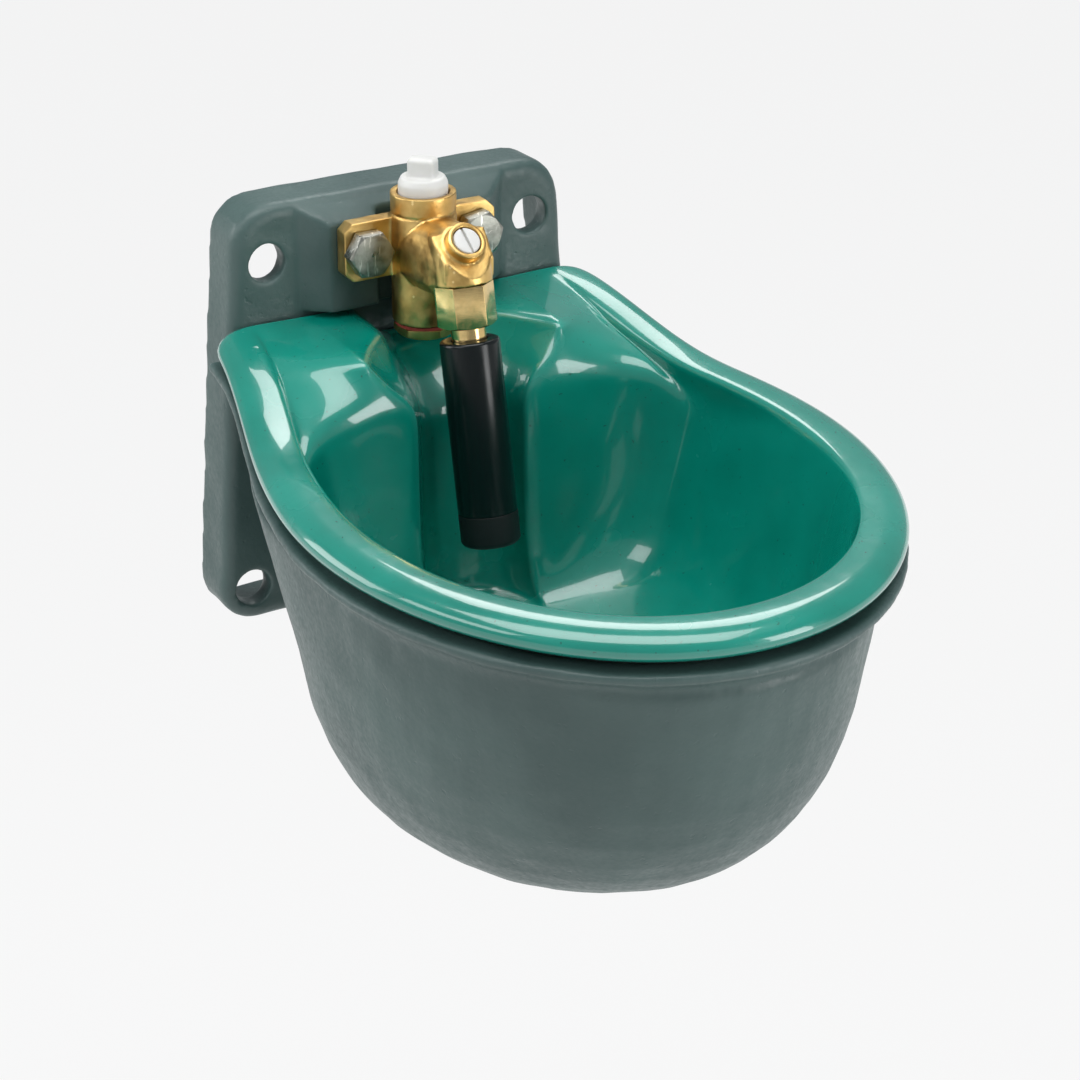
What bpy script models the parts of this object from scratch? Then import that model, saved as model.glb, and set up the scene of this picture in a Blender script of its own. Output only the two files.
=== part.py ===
"""Heated drinking bowl: a cast wall housing, an enamelled bowl, a brass tube valve and the heater.

Frame: the wall is the plane y = 0, the bowl reaches out towards -Y, X is to the right and Z is up.
The origin is the middle of the four-hole pattern, on the wall plane. All sizes are in metres.
"""
import math

import bmesh
import bpy
from mathutils import Matrix, Vector

# Fits that repeat
GAP = 0.0003
OVERSHOOT = 0.002

# Wall plate
PLATE_DEPTH = 0.024
PLATE_WALL = 0.009
PLATE_SIDE = 0.006
PLATE_TOP = 0.0925
PLATE_BOTTOM = -0.084
PLATE_HALF_TOP = 0.0725
PLATE_HALF_BOTTOM = 0.0855
PLATE_CORNER = 0.014
PLATE_EDGE = 0.003
HOLE_DIAMETER = 0.0148
UPPER_HOLE_INSET = 0.0133
LOWER_HOLE_INSET = 0.0145
HOLE_ROW_SPACING = 0.138
WASHER_SEAT_RADIUS = 0.010
WASHER_SEAT_PROUD = 0.0004
REAR_RIB_HEIGHT = 0.022
PAD_PROUD = 0.009
PAD_HALF = 0.036
PAD_FLANK = 0.010
PAD_TOP_SLOPE = 0.006
PAD_FOOT_LIFT = 0.0015
PIPE_GROOVE_HALF = 0.0145
PIPE_GROOVE_DEPTH = 0.0046

# Rim line shared by the bowl and the housing
RIM_HALF_PLATE = 0.0846
RIM_HALF_WIDE = 0.1136
RIM_WIDE_Y = -0.165
RIM_FRONT_Y = -0.300
RIM_FLARE = 0.6
RIM_FRONT_Z = 0.0106
RIM_SLOPE = 0.047
RIM_REAR_RISE = 0.0160
RIM_RISE_START_Y = -0.105
RIM_RISE_END_Y = -0.026
RIM_WIDTH = 0.020
RIM_HALF_HEIGHT = 0.006

# Inner bowl
BOWL_WALL = 0.0042
SHELF_Z = 0.045
SHELF_THICKNESS = 0.005
SHELF_DIP_Z = 0.0325
SHELF_DIP_HALF = 0.0145
SHELF_DIP_FLANK = 0.005
CAVITY_FLOOR_Z = -0.072
CAVITY_REAR_TOP_Y = -0.076
CAVITY_CORNER_Y = -0.050
CAVITY_REAR_Y = -0.083
CAVITY_DRAFT = 0.019
CAVITY_REAR_POWER = 4.2
CAVITY_CORNER_SHARE = 0.17
CAVITY_FRONT_POWER = 2.1
FUNNEL_HALF = 0.044
FUNNEL_BACK_Y = -0.038
FUNNEL_DEPTH_SHARE = 0.24
CHANNEL_Y = -0.086
CHANNEL_RADIUS = 0.0238
BOSS_RADIUS = 0.008
BOWL_BOSS_Y = (-0.195, -0.125)
POST_HEIGHT = 0.012

# Outer shell
LIP_PROUD = 0.0005
LIP_THICKNESS = 0.0045
LIP_INNER_INSET = 0.0130
SHOULDER_DROP = 0.022
PLATE_RELIEF = 0.0005
SEAL_RADIUS = 0.0007
SEAL_INSET = 0.009
SHELL_SIDE_INSET = 0.0104
SHELL_FRONT_INSET = 0.0035
SHELL_REAR_OFFSET = 0.0125
SHELL_LEAN = 0.0151
SHELL_TOP_Z = 0.0345
SHELL_FLOOR_ROOM = 0.055
SHELL_DEPTH_POWER = 3.4
SHELL_ROUND_POWER = 4.0
SHELL_REAR_POWER = 3.4
SHELL_SQUARE_FROM_Z = -0.050
SHELL_WALL = 0.0045
SHELL_FILLET = 0.0075
SHELL_FILLET_SHARE = 0.5
NECK_HALF = 0.052
NECK_REACH = 0.040
NECK_TOP_DROP = 0.0037
SPOT_FACE_RADIUS = 0.011
SPOT_FACE_PROUD = 0.0013

# Insulation liner and heater
LINER_THICKNESS = 0.003
LINER_FLOOR = 0.006
LINER_TOP_SHARE = 0.54
CABLE_RADIUS = 0.0018
CABLE_TURNS = 2
CABLE_TOP_Z = -0.035
CABLE_PITCH = 0.008
THERMOSTAT_X = 0.030
THERMOSTAT_Y = -0.165
THERMOSTAT_RADIUS = 0.008
THERMOSTAT_HEIGHT = 0.0065
CLIP_SCREW_OFFSET = 0.016
CLIP_WIDTH = 0.010
CLIP_THICKNESS = 0.0012
CLIP_SCREW_RADIUS = 0.0018
CLIP_SCREW_LENGTH = 0.0045

# Cable gland
GLAND_Y = -0.080
GLAND_BOSS_RADIUS = 0.0135
GLAND_BOSS_RISE = 0.0175
GLAND_BOSS_SINK = 0.0008
GLAND_THREAD_RADIUS = 0.0078
GLAND_BORE_RADIUS = 0.0048
GLAND_FLATS = 0.022
GLAND_BODY_FLATS = 0.024
GLAND_FLANGE = 0.005
GLAND_THREAD_REACH = 0.0078
GLAND_SEAL_HEIGHT = 0.0039
GLAND_SEAL_BORE = 0.0032
GLAND_NUT_FLOOR = 0.002
LINER_GLAND_CLEARANCE = 0.026

# Bowl fixing bolts
BOLT_M8_RADIUS = 0.0038
BOLT_M8_FLATS = 0.013
BOLT_M8_HEAD = 0.0053
BOLT_M8_LENGTH = 0.036
WASHER_RADIUS = 0.008
WASHER_THICKNESS = 0.0016

# Valve body
PIPE_Y = -0.043
SOCKET_RADIUS = 0.0132
SOCKET_TOP_Z = 0.095
PORT_BOTTOM_Z = 0.042
PIPE_BORE = 0.0096
SOCKET_MOUTH = 0.0104
SOCKET_MOUTH_DEPTH = 0.004
FLANGE_HALF = 0.0337
FLANGE_HEIGHT = 0.0242
FLANGE_THICKNESS = 0.0073
FLANGE_Z = 0.0732
FLANGE_CHAMFER = 0.003
BOLT_SPACING = 0.0488
BOLT_M10_RADIUS = 0.0048
BOLT_M10_FLATS = 0.017
BOLT_M10_HEAD = 0.0064
BOLT_M10_LENGTH = 0.024
BRIDGE_HALF = 0.0128
BRIDGE_HEIGHT = 0.0215
BRIDGE_TOP_Z = 0.0885
BRIDGE_WAIST_SHARE = 0.45
OUTLET_RADIUS = 0.0118

# Outlet axis, which leans forward at its foot
TUBE_TILT = math.radians(11.55)
NUT_FOOT_Y = -0.0785
NUT_FOOT_Z = 0.0502
NUT_HEIGHT = 0.0165
NUT_FLATS = 0.0205
NUT_BORE = 0.0082
NUT_THREAD = 0.0087
NUT_FLOOR = 0.003
SEAT_BORE = 0.0077
SEAT_HEIGHT = 0.002
PIVOT_RISE = 0.0095
HEAD_RADIUS = 0.0082
HEAD_TOP = 0.011
TUBE_RADIUS = 0.0069
TUBE_BORE = 0.0055
SPIGOT_START = 0.0125
SPIGOT_RADIUS = 0.0083
CHAMBER_RADIUS = 0.0062
CHAMBER_TOP = 0.0255
PASSAGE_RADIUS = 0.0035
SPRING_RADIUS = 0.0047
SPRING_WIRE = 0.0006
SPRING_TURNS = 5
SLEEVE_RADIUS = 0.012
SLEEVE_TOP = -0.0053
SLEEVE_BOTTOM = -0.088
SLEEVE_ROUND = 0.0015
TIP_HEIGHT = 0.013

# Regulator
REGULATOR_Y = -0.0789
REGULATOR_Z = 0.0853
REGULATOR_TILT = math.radians(45.0)
REGULATOR_BOSS_RADIUS = 0.0080
REGULATOR_BOSS_PROUD = 0.0045
REGULATOR_BOSS_DEPTH = 0.0184
REGULATOR_HEAD_RADIUS = 0.0055
REGULATOR_HEAD_HEIGHT = 0.004
REGULATOR_STEM_RADIUS = 0.0038
REGULATOR_DEPTH = 0.0115
RING_WIRE = 0.0007
RING_DEPTH = 0.0065
RING_POINTS = 20
SLOT_WIDTH = 0.0014
SLOT_DEPTH = 0.0016

# Plugs
PLUG_RADIUS = 0.0100
PLUG_THREAD_RADIUS = 0.0093
PLUG_INSERT = 0.010
PLUG_COLLAR = 0.0062
PLUG_COLLAR_TOP_RADIUS = 0.0086
PLUG_TAB_WIDTH = 0.0113
PLUG_TAB_DEPTH = 0.0080
PLUG_TAB_HEIGHT = 0.0073
PLUG_TAB_TURN = math.radians(-45.0)
BLANK_HEAD_HEIGHT = 0.004
BLANK_HEAD_FLATS = 0.022
BLANK_SEAL_THICKNESS = 0.0012
BLANK_SEAL_RADIUS = 0.0122
BLANK_INSERT = 0.009

# Mesh resolution
NOTCH_STEPS = 7
REAR_STEPS = 10
CORNER_STEPS = 3
FRONT_STEPS = 10
ROUND_STEPS = 32
SMALL_STEPS = 20
FINE_STEPS = 24
SCREW_STEPS = 12
SPRING_STEPS = 10
WIRE_RESOLUTION = 1
SHELL_LEVELS = (0.010, 0.035, 0.08, 0.15, 0.25, 0.38, 0.54)
SEAM_TURN = math.radians(4.0)

PLATE_FRONT_Y = -PLATE_DEPTH
PAD_FRONT_Y = PLATE_FRONT_Y - PAD_PROUD
UPPER_HOLE_Z = HOLE_ROW_SPACING / 2
LOWER_HOLE_Z = -HOLE_ROW_SPACING / 2
LIP_DROP = RIM_HALF_HEIGHT + 2 * GAP + 2 * SEAL_RADIUS
SHELL_HALF = RIM_HALF_WIDE - SHELL_SIDE_INSET
SHELL_FRONT_Y = RIM_FRONT_Y + SHELL_FRONT_INSET
SHELL_REAR_Y = PLATE_FRONT_Y - SHELL_REAR_OFFSET
SHELL_REACH = (SHELL_REAR_Y - SHELL_FRONT_Y) / 2
SHELL_CENTRE_TOP_Y = (SHELL_REAR_Y + SHELL_FRONT_Y) / 2
SHELL_CENTRE_BOTTOM_Y = SHELL_CENTRE_TOP_Y + SHELL_LEAN
SHELL_BOTTOM_Z = CAVITY_FLOOR_Z - SHELL_FLOOR_ROOM
BOWL_BOSS_END_Z = SHELL_BOTTOM_Z + POST_HEIGHT
GLAND_BOSS_TOP_Z = SHELL_BOTTOM_Z + GLAND_BOSS_RISE
GLAND_BOSS_BOTTOM_Z = SHELL_BOTTOM_Z + GLAND_BOSS_SINK


def clear_scene():
    for old in list(bpy.data.objects):
        bpy.data.objects.remove(old, do_unlink=True)


def new_collection(name):
    collection = bpy.data.collections.new(name)
    bpy.context.scene.collection.children.link(collection)
    return collection


def new_material(name, colour, roughness, metallic):
    material = bpy.data.materials.new(name)
    material.use_nodes = True
    shader = material.node_tree.nodes["Principled BSDF"]
    shader.inputs["Base Color"].default_value = (*colour, 1.0)
    shader.inputs["Roughness"].default_value = roughness
    shader.inputs["Metallic"].default_value = metallic
    material.diffuse_color = (*colour, 1.0)
    return material


clear_scene()
PARTS = new_collection("heated_drinking_bowl")
CUTTERS = new_collection("cutters")


def finish_mesh(name, bm, matrix=None):
    bmesh.ops.recalc_face_normals(bm, faces=bm.faces)
    mesh = bpy.data.meshes.new(name)
    bm.to_mesh(mesh)
    bm.free()
    if matrix is not None:
        mesh.transform(matrix)
    return mesh


def add_part(name, mesh, finish, location=(0, 0, 0), tilt=0.0, parent=None):
    part = bpy.data.objects.new(name, mesh)
    colour, roughness, metallic = finish
    mesh.materials.append(new_material(name, colour, roughness, metallic))
    PARTS.objects.link(part)
    part.location = location
    part.rotation_euler = (tilt, 0, 0)
    if parent is not None:
        part.parent = parent
    mesh.shade_smooth()
    mesh.set_sharp_from_angle(angle=math.radians(32))
    return part


def add_cutter(name, mesh):
    cutter = bpy.data.objects.new(name, mesh)
    cutter.hide_render = True
    cutter.display_type = 'WIRE'
    CUTTERS.objects.link(cutter)
    return cutter


def combine(part, mesh, operation, label):
    """Join a tool mesh to the part, or cut it away; the tool stays in the cutters' collection."""
    cutter = add_cutter(part.name + "_" + label, mesh)
    cutter.parent = part
    modifier = part.modifiers.new(label, 'BOOLEAN')
    modifier.object = cutter
    modifier.operation = operation
    modifier.solver = 'EXACT'


def cut(part, mesh, label):
    combine(part, mesh, 'DIFFERENCE', label)


def join(part, mesh, label):
    combine(part, mesh, 'UNION', label)


def box_mesh(name, low, high):
    bm = bmesh.new()
    bmesh.ops.create_cube(bm, size=1.0)
    low = Vector(low)
    high = Vector(high)
    bmesh.ops.scale(bm, vec=high - low, verts=bm.verts)
    bmesh.ops.translate(bm, vec=(low + high) / 2, verts=bm.verts)
    return finish_mesh(name, bm)


def rod_mesh(name, radius, start, end, steps=ROUND_STEPS, turn=0.0):
    """A cylinder or prism between two points; turn spins its facets about its own axis."""
    start = Vector(start)
    end = Vector(end)
    along = end - start
    bm = bmesh.new()
    bmesh.ops.create_cone(bm, cap_ends=True, segments=steps, radius1=radius, radius2=radius,
                          depth=along.length)
    spin = Matrix.Rotation(turn, 4, 'Z')
    aim = along.to_track_quat('Z', 'Y').to_matrix().to_4x4()
    bmesh.ops.transform(bm, matrix=Matrix.Translation((start + end) / 2) @ aim @ spin, verts=bm.verts)
    return finish_mesh(name, bm)


def hex_mesh(name, flats, start, end, turn=0.0):
    corner_radius = flats / math.sqrt(3)
    return rod_mesh(name, corner_radius, start, end, steps=6, turn=turn)


def turned_part(name, profile, finish, steps=ROUND_STEPS, closed=False, **place):
    """Spin a profile of (radius, height) points, listed from its top down its outer side."""
    bm = bmesh.new()
    corners = [bm.verts.new((radius, 0, height)) for radius, height in profile]
    for first, second in zip(corners, corners[1:]):
        bm.edges.new((first, second))
    if closed:
        bm.edges.new((corners[-1], corners[0]))
    mesh = bpy.data.meshes.new(name)
    bm.to_mesh(mesh)
    bm.free()
    part = add_part(name, mesh, finish, **place)
    spin = part.modifiers.new("turn", 'SCREW')
    spin.axis = 'Z'
    spin.steps = steps
    spin.render_steps = steps
    spin.use_merge_vertices = True
    spin.merge_threshold = 0.00005
    spin.use_smooth_shade = True
    return part


def loft_mesh(name, rings):
    """Skin closed rings of equal length and close both ends on a middle point."""
    bm = bmesh.new()
    rows = [[bm.verts.new(point) for point in ring] for ring in rings]
    count = len(rings[0])
    for lower, upper in zip(rows, rows[1:]):
        for i in range(count):
            j = (i + 1) % count
            bm.faces.new((lower[i], lower[j], upper[j], upper[i]))
    for row in (rows[0], rows[-1]):
        middle = bm.verts.new(sum((v.co for v in row), Vector()) / count)
        for i in range(count):
            bm.faces.new((row[i], row[(i + 1) % count], middle))
    return finish_mesh(name, bm)


def wire_part(name, points, radius, finish, cyclic=False, **place):
    """A round wire along the points, as a curve with filled ends."""
    curve = bpy.data.curves.new(name, 'CURVE')
    curve.dimensions = '3D'
    curve.bevel_depth = radius
    curve.bevel_resolution = WIRE_RESOLUTION
    curve.use_fill_caps = True
    spline = curve.splines.new('POLY')
    spline.points.add(len(points) - 1)
    for knot, point in zip(spline.points, points):
        knot.co = (*point, 1.0)
    spline.use_cyclic_u = cyclic
    part = bpy.data.objects.new(name, curve)
    colour, roughness, metallic = finish
    curve.materials.append(new_material(name, colour, roughness, metallic))
    PARTS.objects.link(part)
    part.location = place.get("location", (0, 0, 0))
    part.rotation_euler = (place.get("tilt", 0.0), 0, 0)
    part.parent = place.get("parent")
    return part


def smooth_step(share):
    share = min(max(share, 0.0), 1.0)
    return share * share * (3 - 2 * share)


def mix(start, end, share):
    return start + (end - start) * share


# Finishes: colour, roughness, metallic
CAST_GREY = ((0.085, 0.150, 0.140), 0.45, 0.0)
ENAMEL = ((0.0, 0.205, 0.140), 0.12, 0.0)
BLACK_RUBBER = ((0.012, 0.013, 0.014), 0.55, 0.0)
BLACK_PLASTIC = ((0.006, 0.010, 0.011), 0.30, 0.0)
GREY_FOAM = ((0.35, 0.35, 0.34), 0.90, 0.0)
RED_SILICONE = ((0.45, 0.05, 0.03), 0.50, 0.0)
STEEL = ((0.40, 0.40, 0.37), 0.35, 1.0)
BRASS = ((0.62, 0.38, 0.12), 0.35, 1.0)
POLISHED_BRASS = ((0.70, 0.52, 0.24), 0.15, 1.0)
WHITE_PLASTIC = ((0.80, 0.80, 0.77), 0.40, 0.0)
RED_FIBRE = ((0.40, 0.06, 0.04), 0.80, 0.0)


def rim_height(y):
    """Middle height of the rolled rim: nearly level, then rising to the plate."""
    rise_share = (y - RIM_RISE_START_Y) / (RIM_RISE_END_Y - RIM_RISE_START_Y)
    return RIM_FRONT_Z + RIM_SLOPE * (y - RIM_FRONT_Y) + RIM_REAR_RISE * smooth_step(rise_share)


def rim_half_width(y, inset):
    """Half width of the rim's outline behind its widest point."""
    share = (PLATE_FRONT_Y - y) / (PLATE_FRONT_Y - RIM_WIDE_Y)
    leaving = RIM_FLARE * (share ** 3 - 2 * share ** 2 + share)
    arriving = 3 * share ** 2 - 2 * share ** 3
    return RIM_HALF_PLATE + (RIM_HALF_WIDE - RIM_HALF_PLATE) * (leaving + arriving) - inset


def mirrored(half):
    """Close a ring from its right half, which runs from the rear middle to the front middle."""
    left = [(-x, y, z) for x, y, z in reversed(half[1:-1])]
    return half + left


def rim_ring(inset, rear_y, height_of, shift=0.0):
    """A ring at one distance inside the rim's outline; its rear lies along a straight line.

    The shift, a share of a step, moves the points along the ring.
    """
    half = []
    for i in range(NOTCH_STEPS):
        x = FUNNEL_HALF * math.sin(math.pi / 2 * i / NOTCH_STEPS)
        half.append((x, rear_y))
    corner_x = rim_half_width(min(rear_y, PLATE_FRONT_Y), inset)
    for i in range(CORNER_STEPS):
        half.append((mix(FUNNEL_HALF, corner_x, i / CORNER_STEPS), rear_y))
    side_steps = REAR_STEPS - CORNER_STEPS
    half.append((corner_x, rear_y))
    for i in range(1, side_steps):
        y = mix(PLATE_FRONT_Y, RIM_WIDE_Y, (i + shift) / side_steps)
        half.append((rim_half_width(y, inset), y))
    for i in range(FRONT_STEPS + 1):
        moved = i + shift if 0 < i < FRONT_STEPS else i
        angle = math.pi / 2 * moved / FRONT_STEPS
        x = (RIM_HALF_WIDE - inset) * math.cos(angle)
        y = RIM_WIDE_Y - (RIM_WIDE_Y - RIM_FRONT_Y - inset) * math.sin(angle)
        half.append((max(x, 0.0), y))
    return mirrored([(x, y, height_of(x, y)) for x, y in half])


def shelf_height(x):
    """Height of the level shelf at the bowl's rear, with a dip below the valve's lower port."""
    dip_share = smooth_step((SHELF_DIP_HALF + SHELF_DIP_FLANK - abs(x)) / SHELF_DIP_FLANK)
    return mix(SHELF_Z, SHELF_DIP_Z, dip_share)


def crest_height(y):
    return rim_height(y) + RIM_HALF_HEIGHT * 0.85


def shoulder_outline():
    """Right half of the cavity's upper edge behind its widest point: tip, crease, rear corner, side."""
    corner_x = rim_half_width(CAVITY_CORNER_Y, RIM_WIDTH)
    side_steps = REAR_STEPS - CORNER_STEPS
    outline = []
    for i in range(CORNER_STEPS):
        share = i / CORNER_STEPS
        x = mix(FUNNEL_HALF, corner_x, share)
        y = mix(CAVITY_REAR_TOP_Y, CAVITY_CORNER_Y, share)
        outline.append((x, y, mix(SHELF_Z, crest_height(CAVITY_CORNER_Y), share)))
    for i in range(side_steps):
        y = mix(CAVITY_CORNER_Y, RIM_WIDE_Y, i / side_steps)
        outline.append((rim_half_width(y, RIM_WIDTH), y, crest_height(y)))
    return outline


def cavity_ring(depth_share, grow, drop):
    """A ring of the cavity at a share of its depth, grown by a wall and lowered by a floor."""
    shrink = mix(1.0, (1 - depth_share ** 6) ** (1 / 3), 0.75)
    half_width = (RIM_HALF_WIDE - RIM_WIDTH - CAVITY_DRAFT * depth_share) * shrink + grow
    reach = (RIM_WIDE_Y - RIM_FRONT_Y - RIM_WIDTH - CAVITY_DRAFT * depth_share) * shrink + grow
    funnel_share = smooth_step(depth_share / FUNNEL_DEPTH_SHARE)
    corner_share = smooth_step(depth_share / CAVITY_CORNER_SHARE)
    notch_half = mix(FUNNEL_HALF, CHANNEL_RADIUS, funnel_share) + grow
    channel_back = CHANNEL_Y + CHANNEL_RADIUS * mix(1.0, shrink, 0.6)
    back_y = mix(FUNNEL_BACK_Y, channel_back, funnel_share) + grow
    notch_power = mix(1.0, 0.5, funnel_share)
    rear_reach = (CAVITY_REAR_Y - RIM_WIDE_Y) * mix(1.0, shrink, 0.4) + grow
    power = CAVITY_REAR_POWER
    deep_mouth_y = RIM_WIDE_Y + rear_reach * (1 - (notch_half / half_width) ** power) ** (1 / power)
    mouth_y = mix(CAVITY_REAR_TOP_Y + grow, deep_mouth_y, funnel_share)
    half = []
    for i in range(NOTCH_STEPS):
        x = notch_half * math.sin(math.pi / 2 * i / NOTCH_STEPS)
        y = mouth_y + (back_y - mouth_y) * (1 - (x / notch_half) ** 2) ** notch_power
        half.append((x, y, shelf_height(x)))
    mouth_angle = math.acos((notch_half / half_width) ** (power / 2))
    corner_angle = math.pi / 4
    side_steps = REAR_STEPS - CORNER_STEPS
    for i, (top_x, top_y, edge_z) in enumerate(shoulder_outline()):
        if i < CORNER_STEPS:
            angle = mix(mouth_angle, corner_angle, i / CORNER_STEPS)
        else:
            angle = corner_angle * (1 - (i - CORNER_STEPS) / side_steps)
        x = half_width * math.cos(angle) ** (2 / power)
        y = RIM_WIDE_Y + rear_reach * math.sin(angle) ** (2 / power)
        half.append((mix(top_x + grow, x, corner_share), mix(top_y + grow, y, corner_share), edge_z))
    power = CAVITY_FRONT_POWER
    for i in range(FRONT_STEPS + 1):
        angle = math.pi / 2 * i / FRONT_STEPS
        x = half_width * max(math.cos(angle), 0.0) ** (2 / power)
        y = RIM_WIDE_Y - reach * math.sin(angle) ** (2 / power)
        half.append((x, y, crest_height(y)))
    return mirrored([(x, y, mix(edge, CAVITY_FLOOR_Z, depth_share) - drop) for x, y, edge in half])


def floor_ring(ring, share, z):
    """A flat ring inside another one, drawn in towards the middle of the floor."""
    middle_y = (CAVITY_REAR_Y + RIM_FRONT_Y) / 2 + RIM_WIDTH
    return [(x * share, mix(middle_y, y, share), z) for x, y, _ in ring]


def rim_level(rise_share):
    """Heights along a ring of the rolled rim, whose rear joins the shelf's edge."""
    def height(x, y):
        rear_share = smooth_step((y - RIM_RISE_START_Y) / (PLATE_FRONT_Y - RIM_RISE_START_Y))
        corner_share = smooth_step((RIM_HALF_PLATE - RIM_WIDTH - abs(x)) / RIM_WIDTH)
        shelf = mix(shelf_height(x), SHELF_DIP_Z - SHELF_THICKNESS, (1 - rise_share) / 2)
        return mix(rim_height(y) + RIM_HALF_HEIGHT * rise_share, shelf, rear_share * corner_share)
    return height


def inner_bowl_rings():
    inner_shares = (0.98, 0.94, 0.87, 0.78, 0.65, 0.45, 0.24, 0.17, 0.11, 0.05, 0.0)
    outer_shares = (0.13, 0.24, 0.45, 0.65, 0.78, 0.87, 0.94, 0.98)
    rear_y = PLATE_FRONT_Y - GAP
    inner_floor = cavity_ring(inner_shares[0], 0.0, 0.0)
    rings = [floor_ring(inner_floor, share, CAVITY_FLOOR_Z) for share in (0.4, 0.85)]
    rings += [cavity_ring(share, 0.0, 0.0) for share in inner_shares]
    for inset, rise_share in ((0.78, 0.96), (0.5, 1.0), (0.22, 0.82), (0.06, 0.45), (0.0, 0.0), (0.06, -0.45),
                              (0.22, -0.82), (0.45, -1.0), (0.75, -1.0)):
        edge_y = rear_y - RIM_WIDTH * 0.12 * inset
        rings.append(rim_ring(RIM_WIDTH * inset, edge_y, rim_level(rise_share)))
    rings += [cavity_ring(share, BOWL_WALL, BOWL_WALL) for share in outer_shares]
    outer_floor = cavity_ring(outer_shares[-1], BOWL_WALL, BOWL_WALL)
    rings += [floor_ring(outer_floor, share, CAVITY_FLOOR_Z - BOWL_WALL) for share in (0.85, 0.4)]
    return rings


def boss_mesh(name, radius, x, y, low_z, high_z, steps=SMALL_STEPS):
    return rod_mesh(name, radius, (x, y, low_z), (x, y, high_z), steps=steps, turn=SEAM_TURN)


def clip_screw_x():
    return THERMOSTAT_X + CLIP_SCREW_OFFSET


def make_inner_bowl():
    bowl = add_part("inner_bowl", loft_mesh("inner_bowl", inner_bowl_rings()), ENAMEL)
    inside_z = CAVITY_FLOOR_Z - BOWL_WALL / 2
    for number, y in enumerate(BOWL_BOSS_Y):
        boss = boss_mesh("boss", BOSS_RADIUS, 0, y, BOWL_BOSS_END_Z, inside_z)
        join(bowl, boss, "boss_" + str(number))
    for number, y in enumerate(BOWL_BOSS_Y):
        bore = boss_mesh("bore", BOLT_M8_RADIUS + GAP, 0, y, BOWL_BOSS_END_Z - OVERSHOOT,
                         bowl_bolt_top_z() + OVERSHOOT)
        cut(bowl, bore, "bore_" + str(number))
    screw_x = clip_screw_x()
    stud = boss_mesh("stud", CLIP_WIDTH / 2, screw_x, THERMOSTAT_Y, clip_top_z() + GAP, inside_z)
    join(bowl, stud, "stud")
    tapped = boss_mesh("tapped", CLIP_SCREW_RADIUS + GAP, screw_x, THERMOSTAT_Y,
                       clip_top_z() - OVERSHOOT, clip_top_z() + CLIP_SCREW_LENGTH + GAP, steps=SCREW_STEPS)
    cut(bowl, tapped, "tapped")
    return bowl


def shell_size(z, grow):
    """Half width, reach and centre of the outer shell at one height."""
    share = (SHELL_TOP_Z - z) / (SHELL_TOP_Z - SHELL_BOTTOM_Z)
    share = min(max(share, 0.0), 1.0)
    round_off = (1 - share ** SHELL_DEPTH_POWER) ** (1 / SHELL_ROUND_POWER)
    centre_y = mix(SHELL_CENTRE_TOP_Y, SHELL_CENTRE_BOTTOM_Y, share)
    return SHELL_HALF * round_off + grow, SHELL_REACH * round_off + grow, centre_y


def shell_ring(z, grow, height_of=None):
    """A ring of the shell, squarer at its upper rear, with the same point order as the rim's rings."""
    half_width, reach, centre_y = shell_size(z, grow)
    square_share = smooth_step((z - SHELL_SQUARE_FROM_Z) / (SHELL_TOP_Z - SHELL_SQUARE_FROM_Z) * 2)
    rear_power = mix(2.0, SHELL_REAR_POWER, square_share)
    rear_steps = NOTCH_STEPS + REAR_STEPS
    half = []
    for i in range(rear_steps):
        angle = math.pi / 2 * (1 - i / rear_steps)
        x = half_width * max(math.cos(angle), 0.0) ** (2 / rear_power)
        half.append((x, centre_y + reach * math.sin(angle) ** (2 / rear_power)))
    for i in range(FRONT_STEPS + 1):
        angle = math.pi / 2 * i / FRONT_STEPS
        half.append((max(half_width * math.cos(angle), 0.0), centre_y - reach * math.sin(angle)))
    return mirrored([(x, y, z if height_of is None else height_of(y)) for x, y in half])


def lip_height(drop):
    return lambda x, y: rim_height(y) - drop


def shell_level(share, grow):
    """A level ring of the shell at a share of its height, moved outwards or inwards by a wall."""
    z = mix(SHELL_BOTTOM_Z, SHELL_TOP_Z, share)
    return [(x, y, z - grow * (1 - share)) for x, y, _ in shell_ring(z, grow)]


def shell_floor(grow):
    """The flat middle of the shell's floor."""
    edge = shell_ring(mix(SHELL_BOTTOM_Z, SHELL_TOP_Z, 0.0015), grow)
    return [(x * 0.5, mix(SHELL_CENTRE_BOTTOM_Y, y, 0.5), SHELL_BOTTOM_Z - grow) for x, y, _ in edge]


def shell_form(grow, top_drop, top_ring):
    """The shell as one closed form, from its floor up to its lip."""
    rings = [shell_floor(grow)]
    rings += [shell_level(share, grow) for share in SHELL_LEVELS]
    rings.append(shell_ring(0.0, grow, lambda y: rim_height(y) - top_drop))
    return rings + top_ring


def outer_shell_rings():
    lip_bottom = LIP_DROP + LIP_THICKNESS
    rear_y = PLATE_FRONT_Y + PLATE_WALL / 2
    fillet_drop = mix(lip_bottom, SHOULDER_DROP, SHELL_FILLET_SHARE)
    edge = LIP_THICKNESS * 0.25
    lip = [
        rim_ring(SHELL_FILLET, rear_y, lip_height(fillet_drop)),
        rim_ring(-LIP_PROUD + edge, rear_y, lip_height(lip_bottom)),
        rim_ring(-LIP_PROUD, rear_y, lip_height(lip_bottom - edge)),
        rim_ring(-LIP_PROUD, rear_y, lip_height(LIP_DROP + edge)),
        rim_ring(-LIP_PROUD + edge, rear_y, lip_height(LIP_DROP)),
        rim_ring(LIP_INNER_INSET * 1.5, rear_y, lip_height(LIP_DROP)),
    ]
    return shell_form(0.0, SHOULDER_DROP, lip)


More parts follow.
